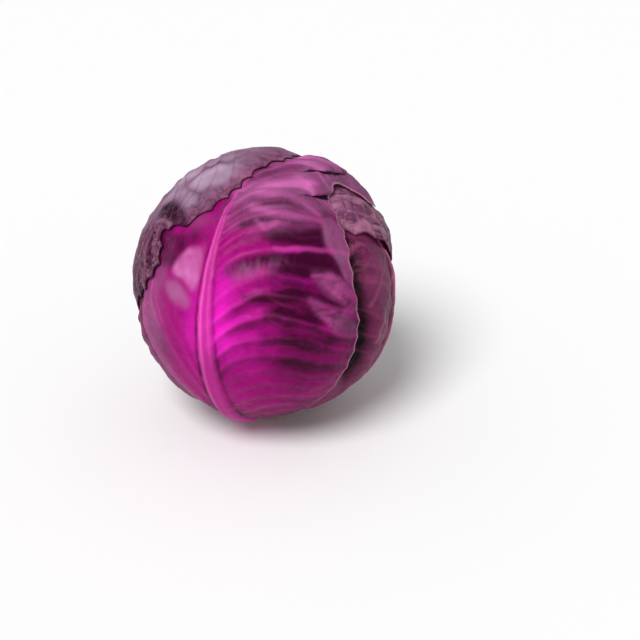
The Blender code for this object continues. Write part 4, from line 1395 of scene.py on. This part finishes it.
class CABBAGE_OT_heart(bpy.types.Operator):
    """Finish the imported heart"""

    bl_idname = "cabbage.heart"
    bl_label = "Heart"

    def execute(self, context):
        blade = (*context.scene.cabbage_colours.right_leaf, 1.0)
        material = leaf_material("heart_wax", blade, LEAF_FINISHES["right_leaf"])
        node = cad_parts["heart"]
        node.data.materials.clear()
        node.data.materials.append(material)
        return {"FINISHED"}


# The floor's half width, and the key light: where it comes from, its strength and its width in degrees
FLOOR_REACH = 40.0
KEY_FROM = (-0.5, -1.0, 1.4)
KEY_STRENGTH = 2.5
KEY_SOFTNESS = 28.0
WORLD_STRENGTH = 0.42


def make_floor(colour):
    corners = [(x * FLOOR_REACH, y * FLOOR_REACH, 0.0) for x, y in ((-1, -1), (1, -1), (1, 1), (-1, 1))]
    mesh = bpy.data.meshes.new("floor")
    mesh.from_pydata(corners, [], [(0, 1, 2, 3)])
    floor = add_object("floor", mesh)
    material = bpy.data.materials.new("floor_paper")
    material.use_nodes = True
    shader = material.node_tree.nodes["Principled BSDF"]
    shader.inputs["Base Color"].default_value = (*colour, 1.0)
    shader.inputs["Roughness"].default_value = 0.9
    mesh.materials.append(material)


def make_light(scene):
    scene.world = bpy.data.worlds.new("studio")
    scene.world.use_nodes = True
    background = scene.world.node_tree.nodes["Background"]
    background.inputs["Color"].default_value = (1.0, 1.0, 1.0, 1.0)
    background.inputs["Strength"].default_value = WORLD_STRENGTH
    scene.view_settings.view_transform = "Standard"
    sun = bpy.data.lights.new("key", "SUN")
    sun.energy = KEY_STRENGTH
    sun.angle = math.radians(KEY_SOFTNESS)
    add_object("key", sun).rotation_euler = Vector(KEY_FROM).to_track_quat("Z", "Y").to_euler()


def make_camera(scene):
    """Puts the head where it lies in the photograph's frame, seen from the same angle."""
    elevation = math.radians(VIEW_ELEVATION)
    back = Vector((0.0, -math.cos(elevation), math.sin(elevation)))
    up = Vector((0.0, math.sin(elevation), math.cos(elevation)))
    metres_per_pixel = HEAD_RADIUS / HEAD_PIXEL_RADIUS
    right_by, down_by = (metres_per_pixel * (FRAME_WIDTH / 2 - pixel) for pixel in HEAD_PIXEL)
    lens = bpy.data.cameras.new("camera")
    lens.sensor_width = SENSOR
    lens.lens = VIEW_DISTANCE * SENSOR / (FRAME_WIDTH * metres_per_pixel)
    camera = add_object("camera", lens)
    aim = Vector((right_by, 0.0, CENTRE_HEIGHT)) - up * down_by
    camera.location = aim + back * VIEW_DISTANCE
    camera.rotation_euler = back.to_track_quat("Z", "Y").to_euler()
    scene.camera = camera


class CABBAGE_OT_stage(bpy.types.Operator):
    """Make the pale floor, the soft light and the camera"""

    bl_idname = "cabbage.stage"
    bl_label = "Stage"

    def execute(self, context):
        make_floor(context.scene.cabbage_colours.floor)
        make_light(context.scene)
        make_camera(context.scene)
        return {"FINISHED"}


class CABBAGE_PT_panel(bpy.types.Panel):
    """Lists the pieces of the head in the 3D view's sidebar"""

    bl_label = "Cabbage head"
    bl_space_type = "VIEW_3D"
    bl_region_type = "UI"
    bl_category = "Cabbage"

    def draw(self, context):
        for group in (context.scene.cabbage_sizes, context.scene.cabbage_colours):
            for name in type(group).__annotations__:
                self.layout.prop(group, name)
        for operator in OPERATORS:
            self.layout.operator(operator.bl_idname)


OPERATORS = (CABBAGE_OT_stage, CABBAGE_OT_stem, CABBAGE_OT_heart, CABBAGE_OT_leaves)
CLASSES = (CabbageSizes, CabbageColours, *OPERATORS, CABBAGE_PT_panel)


def register():
    for cls in CLASSES:
        bpy.utils.register_class(cls)
    bpy.types.Scene.cabbage_sizes = PointerProperty(type=CabbageSizes)
    bpy.types.Scene.cabbage_colours = PointerProperty(type=CabbageColours)


def unregister():
    del bpy.types.Scene.cabbage_sizes
    del bpy.types.Scene.cabbage_colours
    for cls in reversed(CLASSES):
        bpy.utils.unregister_class(cls)


def main():
    register()
    bpy.ops.cabbage.stage()
    bpy.ops.cabbage.stem()
    bpy.ops.cabbage.heart()
    bpy.ops.cabbage.leaves()


if __name__ == "__main__":
    main()
